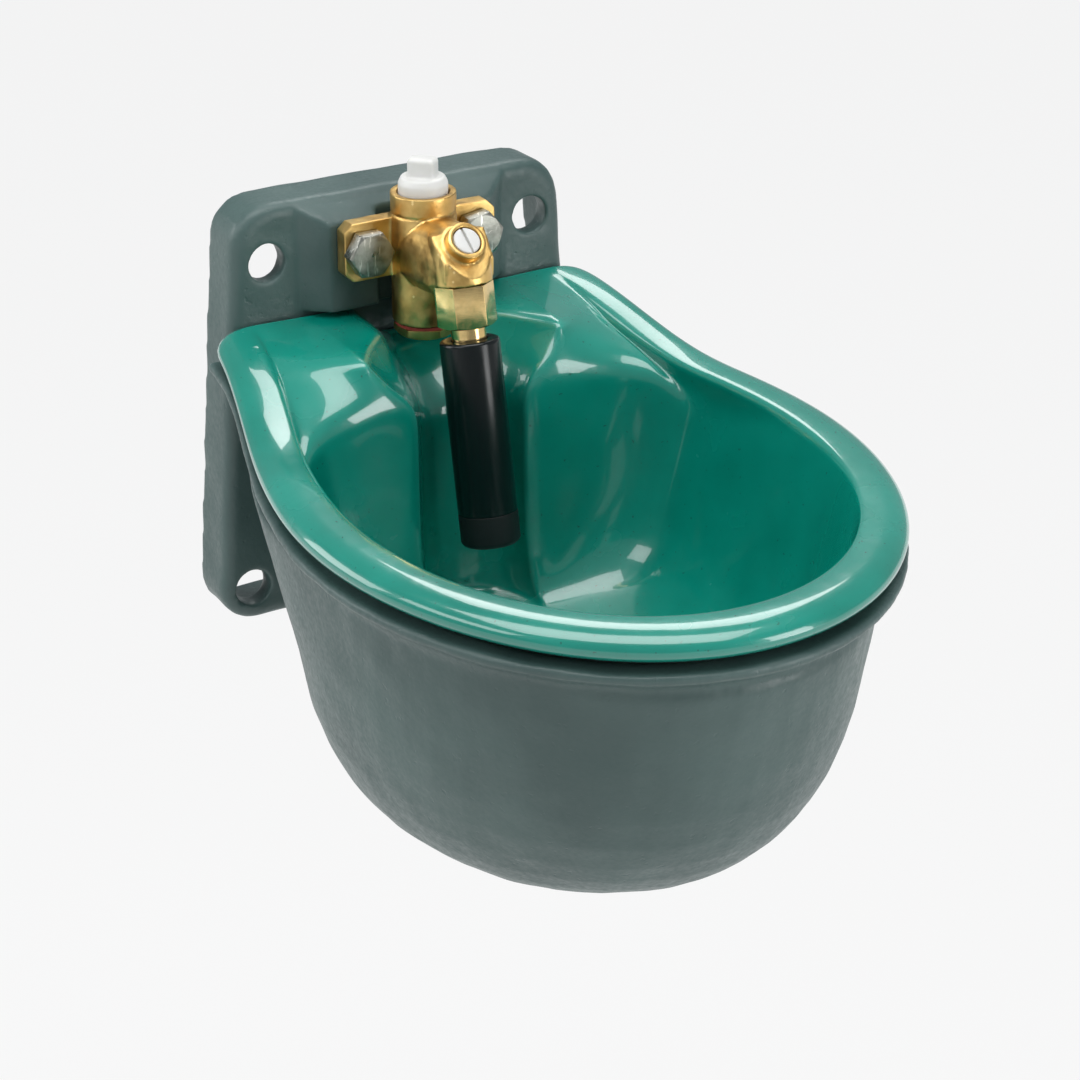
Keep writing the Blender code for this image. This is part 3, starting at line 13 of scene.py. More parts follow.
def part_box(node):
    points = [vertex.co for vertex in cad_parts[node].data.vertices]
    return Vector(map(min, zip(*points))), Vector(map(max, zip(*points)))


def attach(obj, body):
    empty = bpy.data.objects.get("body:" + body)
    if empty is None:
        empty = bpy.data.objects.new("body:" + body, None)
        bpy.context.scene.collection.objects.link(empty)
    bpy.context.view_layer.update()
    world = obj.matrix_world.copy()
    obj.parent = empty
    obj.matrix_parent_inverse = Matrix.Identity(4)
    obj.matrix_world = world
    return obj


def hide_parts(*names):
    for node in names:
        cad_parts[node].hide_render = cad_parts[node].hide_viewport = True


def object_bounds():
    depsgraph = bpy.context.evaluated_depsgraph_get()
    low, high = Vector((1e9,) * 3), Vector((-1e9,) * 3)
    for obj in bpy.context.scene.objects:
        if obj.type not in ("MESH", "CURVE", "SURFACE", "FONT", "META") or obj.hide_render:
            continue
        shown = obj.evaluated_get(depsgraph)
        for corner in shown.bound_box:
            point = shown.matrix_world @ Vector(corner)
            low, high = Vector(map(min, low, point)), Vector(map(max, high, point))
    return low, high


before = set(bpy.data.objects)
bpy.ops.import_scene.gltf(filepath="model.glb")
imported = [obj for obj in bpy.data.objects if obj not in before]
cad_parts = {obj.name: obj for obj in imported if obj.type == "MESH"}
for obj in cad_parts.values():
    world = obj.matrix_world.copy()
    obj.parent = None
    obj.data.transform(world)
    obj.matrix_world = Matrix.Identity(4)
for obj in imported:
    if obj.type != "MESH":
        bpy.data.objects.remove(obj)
CAD_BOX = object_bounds()

# Camera of the photograph
CAMERA_PLACE = (-0.52136, -1.03754, 0.46707)
CAMERA_AZIMUTH = math.radians(-30)
CAMERA_ELEVATION = math.radians(25)
LENS = 100
SENSOR = 36

# Studio
FLOOR_DROP = 0.35
FLOOR_HALF = 12.0
FLOOR_THICKNESS = 0.01
FLOOR_GLOW = 0.86
BACKDROP_RADIUS = 11.0
BACKDROP_HEIGHT = 12.0
SURROUNDINGS = 0.32
SURROUNDINGS_COLOUR = (0.92, 0.96, 1.0, 1.0)
LIGHT_TARGET = (0, -0.14, 0.0)

# Soft boxes: name, place, width, height and power
SOFT_BOXES = (
    ("back_left_box", (-0.95, 0.55, 0.40), 0.65, 0.55, 4),
    ("right_box", (0.55, 0.60, 1.00), 0.60, 0.45, 4),
    ("rim_box", (-1.10, -0.20, 0.72), 0.80, 0.35, 3),
    ("front_box", (0.60, -1.16, 0.17), 0.40, 0.75, 5),
    ("top_box", (-0.10, -0.35, 1.45), 1.5, 1.0, 19),
)

# Clearance between pieces, and how far a cut or a joined form runs past the face it meets
FIT_GAP = 0.0003
OVERRUN = 0.002

# Wall plate and pad
PLATE_DEPTH = 0.024
PLATE_WALL = 0.009
PLATE_SIDE = 0.006
PLATE_TOP = 0.0925
PLATE_BOTTOM = -0.084
PLATE_HALF_TOP = 0.0725
PLATE_HALF_BOTTOM = 0.0855
PLATE_CORNER = 0.016
PLATE_ROUND = 0.005
HOLE_RADIUS = 0.0074
HOLES = ((-0.0592, 0.069), (0.0592, 0.069), (-0.071, -0.069), (0.071, -0.069))
REAR_RIB_HALF = 0.011
PAD_FRONT_Y = -0.033
PAD_HALF = 0.036
PAD_FLANK = 0.010
PAD_STEP = 0.0003
PAD_MIDDLE = 0.0052
PAD_TOP_DROP = 0.003
PAD_TOP_SLOPE = 0.006
PAD_FOOT_Z = 0.0465
GROOVE_HALF = 0.0145
GROOVE_DEPTH = 0.0046
PLATE_FRONT_Y = -PLATE_DEPTH

# Rim line shared by bowl and casting
RIM_HALF_PLATE = 0.0846
RIM_HALF_WIDE = 0.1136
RIM_WIDE_Y = -0.165
RIM_FRONT_Y = -0.300
RIM_FLARE = 0.6
RIM_FRONT_Z = 0.0106
RIM_SLOPE = 0.047
RIM_REAR_RISE = 0.0160
RISE_START_Y = -0.105
RISE_END_Y = -0.026
RIM_WIDTH = 0.020
RIM_HALF_HEIGHT = 0.006
CREST_SHARE = 0.85
REAR_EDGE_LEAN = 0.12

# Bowl
BOWL_WALL = 0.0042
SHELF_Z = 0.045
SHELF_THICKNESS = 0.005
SHELF_DIP_Z = 0.0325
SHELF_DIP_HALF = 0.0145
SHELF_DIP_FLANK = 0.005
FLOOR_Z = -0.072
REAR_TOP_Y = -0.076
CORNER_Y = -0.050
REAR_Y = -0.083
DRAFT = 0.019
REAR_POWER = 4.2
CORNER_SHARE = 0.17
FRONT_POWER = 2.1
BOTTOM_POWER = 6
BOTTOM_SHARE = 0.75
FUNNEL_HALF = 0.044
FUNNEL_BACK_Y = -0.038
FUNNEL_DEPTH_SHARE = 0.24
CHANNEL_Y = -0.086
CHANNEL_RADIUS = 0.0238
CHANNEL_BOTTOM_SHARE = 0.6
REAR_BOTTOM_SHARE = 0.4

# Shell of the casting
LIP_PROUD = 0.0003
LIP_THICKNESS = 0.0045
LIP_DROP = 0.008
LIP_INNER_INSET = 0.013
LIP_FLARE = ((0.0085, 0.62), (0.0058, 0.30), (0.0030, 0.10))
SHOULDER_DROP = 0.022
SHELL_HALF = 0.1032
SHELL_REACH = 0.130
SHELL_TOP_Z = 0.0345
SHELL_BOTTOM_Z = -0.127
SHELL_CENTRE_TOP_Y = -0.1665
SHELL_CENTRE_BOTTOM_Y = -0.1514
SHELL_DEPTH_POWER = 3.4
SHELL_ROUND_POWER = 4.0
SHELL_REAR_POWER = 3.4
SHELL_SQUARE_FROM_Z = -0.050
SHELL_WALL = 0.0045
CAVITY_REAR_INSET = 0.0005
NECK_HALF = 0.052
NECK_REACH = 0.040
NECK_FOOT_RISE = 0.003
NECK_TOP_Z = 0.028
BOSS_PLACES = (-0.195, -0.125)
SPOT_FACE_RADIUS = 0.011
SPOT_FACE_Z = -0.1283
BORE_RADIUS = 0.0041
BORE_DEPTH = 0.010
GLAND_Y = -0.080
GLAND_BOSS_RADIUS = 0.0135
GLAND_BOSS_Z = -0.1262
GLAND_BOSS_ROOT_Z = -0.1095
GLAND_HOLE_RADIUS = 0.0081
GLAND_HOLE_TOP_Z = -0.105
CORD_RADIUS = 0.0008
CORD_INSET = 0.009
CORD_REAR_GAP = 0.0016
CORD_DROP = 0.001

# Valve casting
PIPE_Y = -0.043
SOCKET_RADIUS = 0.0132
SOCKET_TOP_Z = 0.095
SOCKET_RING_Z = 0.0868
SOCKET_RING_HALF = 0.0006
SOCKET_RING_DEPTH = 0.0008
SOCKET_NECK_INSET = 0.0001
PORT_BOTTOM_Z = 0.042
PIPE_BORE = 0.0096
SOCKET_MOUTH = 0.0104
SOCKET_MOUTH_DEPTH = 0.004
FLANGE_HALF = 0.0335
FLANGE_HALF_HEIGHT = 0.0120
FLANGE_THICKNESS = 0.0072
FLANGE_Z = 0.0732
FLANGE_CHAMFER = 0.0034
FLANGE_HOLE_REACH = 0.010
BOLT_X = 0.0244
BOLT_RADIUS = 0.0048
BOLT_HOLE_GAP = 0.0006
BODY_HALF = 0.0127
BODY_BOTTOM_Z = 0.0605
BODY_TOP_Z = 0.0884
ARCH_FOOT_SHARE = 0.82
ARCH_FLANK_SHARE = 0.35
ARCH_START_SHARE = 0.45
ARCH_POWER = 0.85
OUTLET_RADIUS = 0.0117
OUTLET_HEIGHT = 0.0205
SPRING_ROOM = 0.0018
CHAMBER_TOP = 0.0272

# Nut, tube and sleeve, measured along the tilted outlet from the nut's foot
TUBE_TILT = math.radians(11.55)
NUT_FOOT = Vector((0, -0.0785, 0.0502))
NUT_HEIGHT = 0.0165
NUT_FLATS = 0.0205
NUT_TURN = math.radians(12)
NUT_SLOPE = 0.45
NUT_BORE = 0.0082
NUT_BORE_TOP = 0.005
NUT_THREAD = 0.0087
NUT_THREAD_FOOT = 0.003
TUBE_RADIUS = 0.0069
TUBE_BORE = 0.0055
TUBE_END_INSET = 0.002
TUBE_HEAD_RADIUS = 0.0082
TUBE_HEAD_TOP = 0.0014
PIVOT_RISE = 0.0095
SLEEVE_RADIUS = 0.0119
SLEEVE_TOP = -0.0053
SLEEVE_BOTTOM = -0.0879
SLEEVE_FILLET = 0.0005
SEAM_HEIGHT = 0.0002
SEAM_DEPTH = 0.0001
TIP_HEIGHT = 0.013
TIP_ROUND = 0.0015
TIP_FILLET = 0.0008

# Regulator and plug
REGULATOR = Vector((0, -0.0789, 0.0853))
REGULATOR_TILT = math.radians(45)
REGULATOR_BOSS_RADIUS = 0.0079
REGULATOR_BOSS_PROUD = 0.0045
REGULATOR_BOSS_DEPTH = 0.0184
REGULATOR_SEAT_DEPTH = 0.0118
REGULATOR_HEAD_RADIUS = 0.0054
REGULATOR_HEAD_HEIGHT = 0.004
REGULATOR_HEAD_INSET = 0.0001
REGULATOR_STEM_RADIUS = 0.0038
REGULATOR_LENGTH = 0.0115
SLOPE_CUT_REACH = 0.035
SCREW_FILLET = 0.0006
SLOT_WIDTH = 0.0012
SLOT_DEPTH = 0.0016
SLOT_TURN = math.radians(-5.6)
STOPPER_OUTLINE = ((0.0093, -0.0095), (0.0093, -0.0037), (0.0099, -0.0037), (0.0099, 0.0034),
                   (0.0086, 0.0061), (0.004, 0.0061))
STOPPER_FILLET = 0.0008
TAB_LOW = (-0.0056, -0.0039, 0.003)
TAB_HIGH = (0.0056, 0.0039, 0.0134)
TAB_TURN = math.radians(-45)

# Bolt sizes: width across flats, height of the head, radius and length of the shank
FLANGE_BOLT = (0.017, 0.0063, BOLT_RADIUS, 0.023)
BOTTOM_BOLT = (0.013, 0.0053, 0.0038, 0.034)

# Small fittings
FLANGE_BOLT_GAP = 0.0004
FLANGE_BOLT_TURNS = (("left", -1, 0.0), ("right", 1, math.radians(9)))
BOTTOM_BOLT_GAP = 0.0019
BOTTOM_BOLT_TURN = math.radians(17)
WASHER_RADIUS = 0.0080
WASHER_THICKNESS = 0.0016
WASHER_FILLET = 0.0003
GLAND_NUT_FLATS = 0.022
GLAND_NUT_FLOOR = 0.002
GLAND_MOUTH_RADIUS = 0.0048
GLAND_MOUTH_DEPTH = 0.004
BLANK_FLATS = 0.022
BLANK_HEAD = 0.004
BLANK_SHANK_RADIUS = 0.0093
HEXAGON_TURN = math.radians(30)
HEXAGON_SLACK = 0.0001
CHAMFER_START = 0.97
CHAMFER_SLOPE = 0.62

# Broken edges
FINE_EDGE = 0.0002
NUT_EDGE = 0.00025
FITTING_EDGE = 0.0003
SCREW_EDGE = 0.00012
TAB_EDGE = 0.0016

# Mesh resolution
NOTCH_STEPS = 9
CORNER_STEPS = 4
SIDE_STEPS = 9
FRONT_STEPS = 14
TURN_STEPS = 72
ROD_STEPS = 48
SHANK_STEPS = 36
ARCH_STEPS = 18
PLATE_ROUND_STEPS = 5
TUBE_HEAD_STEPS = 8
CASTING_VOXEL = 0.0010
CASTING_ROUNDS = 12
VALVE_VOXEL = 0.00045
STOPPER_VOXEL = 0.00035
SMALL_PIECE_ROUNDS = 5
SHARP_ANGLE = math.radians(20)
TURNED_SHARP_ANGLE = math.radians(40)

# Unevenness of the cast surfaces: size of a lump and its depth
CASTING_LUMPS = (0.016, 0.0005)
VALVE_LUMPS = (0.006, 0.0002)

# Small turns and shifts that keep the edges of two joined forms apart
CONE_TURN = math.radians(1.3)
ROD_TURN = 0.07
CAVITY_SHIFT = 0.4

HOUSING_BODY = "housing"


# Mesh tools
def new_object(name, mesh):
    piece = bpy.data.objects.new(name, mesh)
    bpy.context.scene.collection.objects.link(piece)
    return piece


def to_mesh(name, bm, matrix=None):
    bmesh.ops.recalc_face_normals(bm, faces=bm.faces)
    mesh = bpy.data.meshes.new(name)
    bm.to_mesh(mesh)
    bm.free()
    if matrix is not None:
        mesh.transform(matrix)
    return mesh


def loft(name, rings, matrix=None, closed=False):
    """Skin rings of equal length. Both ends are closed on a middle point, or joined to each other."""
    bm = bmesh.new()
    rows = [[bm.verts.new(point) for point in ring] for ring in rings]
    count = len(rings[0])
    pairs = list(zip(rows, rows[1:]))
    if closed:
        pairs.append((rows[-1], rows[0]))
    for lower, upper in pairs:
        for i in range(count):
            j = (i + 1) % count
            bm.faces.new((lower[i], lower[j], upper[j], upper[i]))
    if not closed:
        for row in (rows[0], rows[-1]):
            middle = bm.verts.new(sum((v.co for v in row), Vector()) / count)
            for i in range(count):
                bm.faces.new((row[i], row[(i + 1) % count], middle))
    return to_mesh(name, bm, matrix)


def circle(radius, height, steps):
    return [(radius * math.cos(math.tau * i / steps), radius * math.sin(math.tau * i / steps), height)
            for i in range(steps)]


def turned(name, profile, matrix=None, closed=False, steps=TURN_STEPS):
    """Spin a profile of (radius, height) points about Z."""
    return loft(name, [circle(radius, height, steps) for radius, height in profile], matrix, closed)


def box(name, low, high):
    bm = bmesh.new()
    bmesh.ops.create_cube(bm, size=1.0)
    low = Vector(low)
    high = Vector(high)
    bmesh.ops.scale(bm, vec=high - low, verts=bm.verts)
    bmesh.ops.translate(bm, vec=(low + high) / 2, verts=bm.verts)
    return to_mesh(name, bm)


def along(start, end, turn=0.0):
    """Matrix that lays the Z axis from start towards end."""
    start = Vector(start)
    aim = (Vector(end) - start).to_track_quat('Z', 'Y').to_matrix().to_4x4()
    return Matrix.Translation(start) @ aim @ Matrix.Rotation(turn, 4, 'Z')


def rod(name, radius, start, end, steps=ROD_STEPS, turn=0.0):
    length = (Vector(end) - Vector(start)).length
    return turned(name, [(radius, 0), (radius, length)], along(start, end, turn), steps=steps)


def rounded(points, radius, steps=5, closed=True):
    """Round the corners of an outline with arcs."""
    outline = []
    count = len(points)
    for i, point in enumerate(points):
        if not closed and i in (0, count - 1):
            outline.append(point)
            continue
        corner = Vector(point)
        before = Vector(points[i - 1]) - corner
        after = Vector(points[(i + 1) % count]) - corner
        fitting = min(radius, before.length * 0.45, after.length * 0.45)
        before.normalize()
        after.normalize()
        half_angle = before.angle(after) / 2
        size = fitting * math.tan(half_angle)
        centre = corner + (before + after).normalized() * (size / math.sin(half_angle))
        start = corner + before * fitting - centre
        end = corner + after * fitting - centre
        turn = math.atan2(start.x * end.y - start.y * end.x, start.dot(end))
        for k in range(steps + 1):
            spot = centre + Matrix.Rotation(turn * k / steps, 2) @ start
            outline.append((spot.x, spot.y))
    return outline


def evaluated_mesh(piece):
    depsgraph = bpy.context.evaluated_depsgraph_get()
    return bpy.data.meshes.new_from_object(piece.evaluated_get(depsgraph))


def bake(piece):
    """Apply the piece's modifiers to its mesh."""
    mesh = evaluated_mesh(piece)
    piece.modifiers.clear()
    piece.data = mesh


def combine(piece, mesh, operation):
    tool = new_object("tool", mesh)
    modifier = piece.modifiers.new("tool", 'BOOLEAN')
    modifier.object = tool
    modifier.operation = operation
    modifier.solver = 'MANIFOLD'
    bake(piece)
    bpy.data.objects.remove(tool, do_unlink=True)


def join(piece, mesh):
    combine(piece, mesh, 'UNION')


def cut(piece, mesh):
    combine(piece, mesh, 'DIFFERENCE')


def soften(piece, voxel, rounds):
    """Remesh a piece finely and smooth it, so that its corners get the fillets of a casting."""
    remesh = piece.modifiers.new("remesh", 'REMESH')
    remesh.mode = 'VOXEL'
    remesh.voxel_size = voxel
    smooth = piece.modifiers.new("smooth", 'SMOOTH')
    smooth.factor = 0.5
    smooth.iterations = rounds
    bake(piece)
    piece.data.shade_smooth()


def shade(piece, sharp_angle):
    piece.data.shade_smooth()
    piece.data.set_sharp_from_angle(angle=sharp_angle)


def bevel(piece, width, segments, angle=30):
    modifier = piece.modifiers.new("bevel", 'BEVEL')
    modifier.width = width
    modifier.segments = segments
    modifier.limit_method = 'ANGLE'
    modifier.angle_limit = math.radians(angle)
    bake(piece)
    shade(piece, SHARP_ANGLE)


def subdivide(piece, levels):
    modifier = piece.modifiers.new("subdivide", 'SUBSURF')
    modifier.levels = levels
    modifier.render_levels = levels
    bake(piece)
    piece.data.shade_smooth()


def ripple(piece, size, depth):
    """Move the surface in and out a little, with soft lumps of one size."""
    mesh = piece.data
    places = [vertex.co.copy() for vertex in mesh.vertices]
    normals = [vertex.normal.copy() for vertex in mesh.vertices]
    moved = []
    for place, normal in zip(places, normals):
        lump = noise.noise(place / size)
        moved.extend(place + normal * (lump - 0.5) * depth)
    mesh.vertices.foreach_set("co", moved)
    mesh.update()


def finish_piece(piece, material, slot, body, *nodes):
    """Dress a piece and hand it to the frame: its material, body and the solids it stands for."""
    piece.data.materials.clear()
    piece.data.materials.append(material)
    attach(piece, body)
    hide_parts(*nodes)


def smooth_step(share):
    share = min(max(share, 0.0), 1.0)
    return share * share * (3 - 2 * share)


def mix(start, end, share):
    return start + (end - start) * share


# Material tools
class Paint:
    """A procedural material, built up from noise, lines and bumps."""

    def __init__(self, name, roughness, metallic=0.0):
        self.material = bpy.data.materials.new(name)
        self.material.use_nodes = True
        self.nodes = self.material.node_tree.nodes
        self.links = self.material.node_tree.links
        self.shader = self.nodes["Principled BSDF"]
        self.set("Roughness", roughness)
        self.set("Metallic", metallic)
        self.place = self.add("ShaderNodeTexCoord", "Object", {})
        self.normal = None

    def feed(self, socket, value):
        """Give a socket a fixed value or the output of another node."""
        if isinstance(value, bpy.types.NodeSocket):
            self.links.new(value, socket)
        else:
            socket.default_value = value

    def set(self, socket, value):
        self.feed(self.shader.inputs[socket], value)

    def add(self, kind, output, inputs):
        node = self.nodes.new(kind)
        for name, value in inputs.items():
            self.feed(node.inputs[name], value)
        return node.outputs[output]

    def stretched(self, scale, turn):
        return self.add("ShaderNodeMapping", "Vector", {"Scale": scale, "Rotation": turn, "Vector": self.place})

    def noise(self, size, detail, where=None):
        """Noise whose lumps are about one size across."""
        inputs = {"Scale": 1 / size, "Detail": detail, "Vector": where or self.place}
        return self.add("ShaderNodeTexNoise", "Fac", inputs)

    def levels(self, value, low, high, start=0.0, end=1.0):
        """Map low..high to start..end, and clamp it."""
        inputs = {"Value": value, "From Min": low, "From Max": high, "To Min": start, "To Max": end}
        return self.add("ShaderNodeMapRange", "Result", inputs)

    def blend(self, share, first, second):
        node = self.nodes.new("ShaderNodeMix")
        node.data_type = 'RGBA'
        self.feed(node.inputs["Factor"], share)
        for name, value in (("A", first), ("B", second)):
            socket = [s for s in node.inputs if s.name == name and s.type == 'RGBA'][0]
            self.feed(socket, (*value, 1.0) if isinstance(value, tuple) else value)
        return [s for s in node.outputs if s.type == 'RGBA'][0]

    def edges(self):
        """High along convex edges and low in hollows."""
        return self.add("ShaderNodeNewGeometry", "Pointiness", {})

    def bump(self, height, depth, strength):
        inputs = {"Strength": strength, "Distance": depth, "Height": height}
        if self.normal is not None:
            inputs["Normal"] = self.normal
        self.normal = self.add("ShaderNodeBump", "Normal", inputs)

    def colour(self, source):
        self.set("Base Color", source)

    def roughness(self, source):
        self.set("Roughness", source)

    def done(self):
        if self.normal is not None:
            self.set("Normal", self.normal)
        return self.material


# Materials
def green_enamel():
    paint = Paint("green_enamel", 0.22)
    cloud = paint.noise(0.045, 4.0)
    base = paint.blend(paint.levels(cloud, 0.35, 0.65), (0.0, 0.200, 0.148), (0.0, 0.255, 0.192))
    # Lighter along convex edges: partly thinner enamel, partly a painted highlight.
    thin_and_sheen = paint.levels(paint.edges(), 0.515, 0.56)
    base = paint.blend(thin_and_sheen, base, (0.040, 0.330, 0.262))
    speck = paint.levels(paint.noise(0.0016, 1.0), 0.72, 0.78)
    paint.colour(paint.blend(speck, base, (0.005, 0.120, 0.090)))
    paint.set("Coat Weight", 1.0)
    paint.set("Coat Roughness", 0.025)
    paint.set("Coat IOR", 1.55)
    paint.roughness(paint.levels(cloud, 0.3, 0.7, 0.20, 0.30))
    paint.bump(paint.noise(0.018, 1.5), 0.0011, 0.35)
    paint.bump(paint.noise(0.0045, 1.0), 0.00012, 0.5)
    return paint.done()


def painted_casting():
    paint = Paint("painted_casting", 0.42)
    cloud = paint.noise(0.060, 5.0)
    base = paint.blend(paint.levels(cloud, 0.35, 0.68), (0.046, 0.084, 0.080), (0.070, 0.118, 0.111))
    # Lighter along convex edges: partly paint wear, partly a painted highlight.
    wear_and_sheen = paint.levels(paint.edges(), 0.52, 0.60)
    base = paint.blend(wear_and_sheen, base, (0.125, 0.185, 0.178))
    # Darker in hollows and creases: painted shade.
    hollow = paint.levels(paint.edges(), 0.47, 0.42)
    paint.colour(paint.blend(hollow, base, (0.030, 0.060, 0.056)))
    grain = paint.noise(0.0022, 4.0)
    paint.roughness(paint.levels(grain, 0.3, 0.7, 0.34, 0.50))
    paint.bump(paint.noise(0.011, 3.0), 0.0012, 0.30)
    paint.bump(grain, 0.00022, 0.55)
    pits = paint.levels(paint.noise(0.0035, 2.0), 0.66, 0.74, 0.0, -1.0)
    paint.bump(pits, 0.0003, 0.35)
    return paint.done()


def cast_brass():
    paint = Paint("cast_brass", 0.36, 1.0)
    cloud = paint.noise(0.012, 4.0)
    base = paint.blend(paint.levels(cloud, 0.35, 0.65), (0.56, 0.34, 0.105), (0.82, 0.57, 0.215))
    # Darker brown in hollows and creases: painted shade.
    hollow = paint.levels(paint.edges(), 0.48, 0.40)
    base = paint.blend(hollow, base, (0.16, 0.075, 0.022))
    # Brighter along convex edges: partly rubbed brass, partly a painted highlight.
    rubbed_and_sheen = paint.levels(paint.edges(), 0.54, 0.62)
    paint.colour(paint.blend(rubbed_and_sheen, base, (0.95, 0.72, 0.33)))
    grain = paint.noise(0.0009, 3.0)
    paint.roughness(paint.levels(paint.noise(0.004, 3.0), 0.3, 0.7, 0.28, 0.46))
    paint.bump(grain, 0.00009, 0.6)
    paint.bump(paint.noise(0.005, 2.0), 0.0004, 0.30)
    return paint.done()


def turned_brass():
    paint = Paint("turned_brass", 0.16, 1.0)
    cloud = paint.noise(0.010, 3.0)
    paint.colour(paint.blend(paint.levels(cloud, 0.3, 0.7), (0.66, 0.47, 0.19), (0.80, 0.60, 0.28)))
    lines = paint.noise(0.0005, 1.0, paint.stretched((0.05, 0.05, 1.0), (TUBE_TILT, 0, 0)))
    paint.roughness(paint.levels(paint.noise(0.003, 3.0), 0.3, 0.7, 0.12, 0.24))
    paint.bump(lines, 0.00002, 0.35)
    return paint.done()


def worn_steel(name, colour, roughness):
    paint = Paint(name, roughness, 1.0)
    cloud = paint.noise(0.004, 4.0)
    dark = tuple(c * 0.62 for c in colour)
    base = paint.blend(paint.levels(cloud, 0.35, 0.65), dark, colour)
    # Near black in hollows and creases: painted shade.
    hollow = paint.levels(paint.edges(), 0.48, 0.42)
    base = paint.blend(hollow, base, (0.030, 0.030, 0.024))
    streaks = paint.noise(0.0012, 2.0, paint.stretched((1.0, 1.0, 0.12), (0, 0.7, 0.4)))
    scratches = paint.levels(streaks, 0.62, 0.70)
    paint.colour(paint.blend(scratches, base, (0.78, 0.77, 0.72)))
    paint.roughness(paint.levels(cloud, 0.3, 0.7, roughness - 0.08, roughness + 0.14))
    paint.bump(paint.noise(0.0018, 3.0), 0.00016, 0.6)
    return paint.done()


def black_plastic():
    paint = Paint("black_plastic", 0.24)
    paint.colour(paint.blend(paint.noise(0.02, 3.0), (0.0015, 0.0035, 0.0040), (0.0035, 0.0065, 0.0070)))
    paint.set("Specular IOR Level", 0.40)
    streaks = paint.noise(0.0016, 2.0, paint.stretched((1.0, 1.0, 0.03), (TUBE_TILT, 0, 0)))
    paint.roughness(paint.levels(streaks, 0.3, 0.7, 0.19, 0.27))
    paint.bump(streaks, 0.00003, 0.5)
    return paint.done()


def rubber(name, colour, roughness):
    paint = Paint(name, roughness)
    light = tuple(c * 1.6 + 0.002 for c in colour)
    paint.colour(paint.blend(paint.noise(0.006, 3.0), colour, light))
    paint.set("Specular IOR Level", 0.30)
    paint.bump(paint.noise(0.0008, 2.0), 0.00005, 0.6)
    return paint.done()


def white_plastic():
    paint = Paint("white_plastic", 0.38)
    paint.colour(paint.blend(paint.noise(0.012, 3.0), (0.62, 0.62, 0.60), (0.70, 0.70, 0.68)))
    paint.set("Subsurface Weight", 0.35)
    paint.set("Subsurface Radius", (0.004, 0.004, 0.0035))
    paint.set("Subsurface Scale", 1.0)
    paint.bump(paint.noise(0.0015, 2.0), 0.00004, 0.5)
    return paint.done()


def plain_finish(name, colour, roughness, size, depth, metallic=0.0):
    """A finish for hidden pieces, with grain of one size."""
    paint = Paint(name, roughness, metallic)
    dark = tuple(c * 0.7 for c in colour)
    grain = paint.noise(size, 4.0)
    paint.colour(paint.blend(grain, dark, colour))
    paint.bump(grain, depth, 0.6)
    return paint.done()


def pale_floor():
    paint = Paint("pale_floor", 0.8)
    paint.colour(paint.blend(paint.noise(0.5, 2.0), (0.045, 0.045, 0.045), (0.055, 0.055, 0.055)))
    paint.set("Emission Color", (1.0, 1.0, 1.0, 1.0))
    paint.set("Emission Strength", FLOOR_GLOW)
    return paint.done()


# Bowl
def rim_height(y):
    share = (y - RISE_START_Y) / (RISE_END_Y - RISE_START_Y)
    return RIM_FRONT_Z + RIM_SLOPE * (y - RIM_FRONT_Y) + RIM_REAR_RISE * smooth_step(share)


def rim_half_width(y, inset):
    share = (PLATE_FRONT_Y - y) / (PLATE_FRONT_Y - RIM_WIDE_Y)
    leaving = RIM_FLARE * (share ** 3 - 2 * share ** 2 + share)
    arriving = 3 * share ** 2 - 2 * share ** 3
    return RIM_HALF_PLATE + (RIM_HALF_WIDE - RIM_HALF_PLATE) * (leaving + arriving) - inset


def mirrored(half):
    """Close a ring from its right half, which runs from the rear middle to the front middle."""
    return half + [(-x, y, z) for x, y, z in reversed(half[1:-1])]


def rim_ring(inset, rear_y, height_of, shift=0.0):
    """A ring at one distance inside the rim's outline; its rear lies along a straight line."""
    half = []
    for i in range(NOTCH_STEPS):
        half.append((FUNNEL_HALF * math.sin(math.pi / 2 * i / NOTCH_STEPS), rear_y))
    corner_x = rim_half_width(min(rear_y, PLATE_FRONT_Y), inset)
    for i in range(CORNER_STEPS):
        half.append((mix(FUNNEL_HALF, corner_x, i / CORNER_STEPS), rear_y))
    half.append((corner_x, rear_y))
    for i in range(1, SIDE_STEPS):
        y = mix(PLATE_FRONT_Y, RIM_WIDE_Y, (i + shift) / SIDE_STEPS)
        half.append((rim_half_width(y, inset), y))
    for i in range(FRONT_STEPS + 1):
        moved = i + shift if 0 < i < FRONT_STEPS else i
        angle = math.pi / 2 * moved / FRONT_STEPS
        x = (RIM_HALF_WIDE - inset) * math.cos(angle)
        y = RIM_WIDE_Y - (RIM_WIDE_Y - RIM_FRONT_Y - inset) * math.sin(angle)
        half.append((max(x, 0.0), y))
    return mirrored([(x, y, height_of(x, y)) for x, y in half])


def shelf_height(x):
    dip_share = smooth_step((SHELF_DIP_HALF + SHELF_DIP_FLANK - abs(x)) / SHELF_DIP_FLANK)
    return mix(SHELF_Z, SHELF_DIP_Z, dip_share)


def crest_height(y):
    return rim_height(y) + RIM_HALF_HEIGHT * CREST_SHARE


def shoulder_outline():
    """Right half of the cavity's upper edge behind its widest point."""
    corner_x = rim_half_width(CORNER_Y, RIM_WIDTH)
    outline = []
    for i in range(CORNER_STEPS):
        share = i / CORNER_STEPS
        x = mix(FUNNEL_HALF, corner_x, share)
        y = mix(REAR_TOP_Y, CORNER_Y, share)
        outline.append((x, y, mix(SHELF_Z, crest_height(CORNER_Y), share)))
    for i in range(SIDE_STEPS):
        y = mix(CORNER_Y, RIM_WIDE_Y, i / SIDE_STEPS)
        outline.append((rim_half_width(y, RIM_WIDTH), y, crest_height(y)))
    return outline


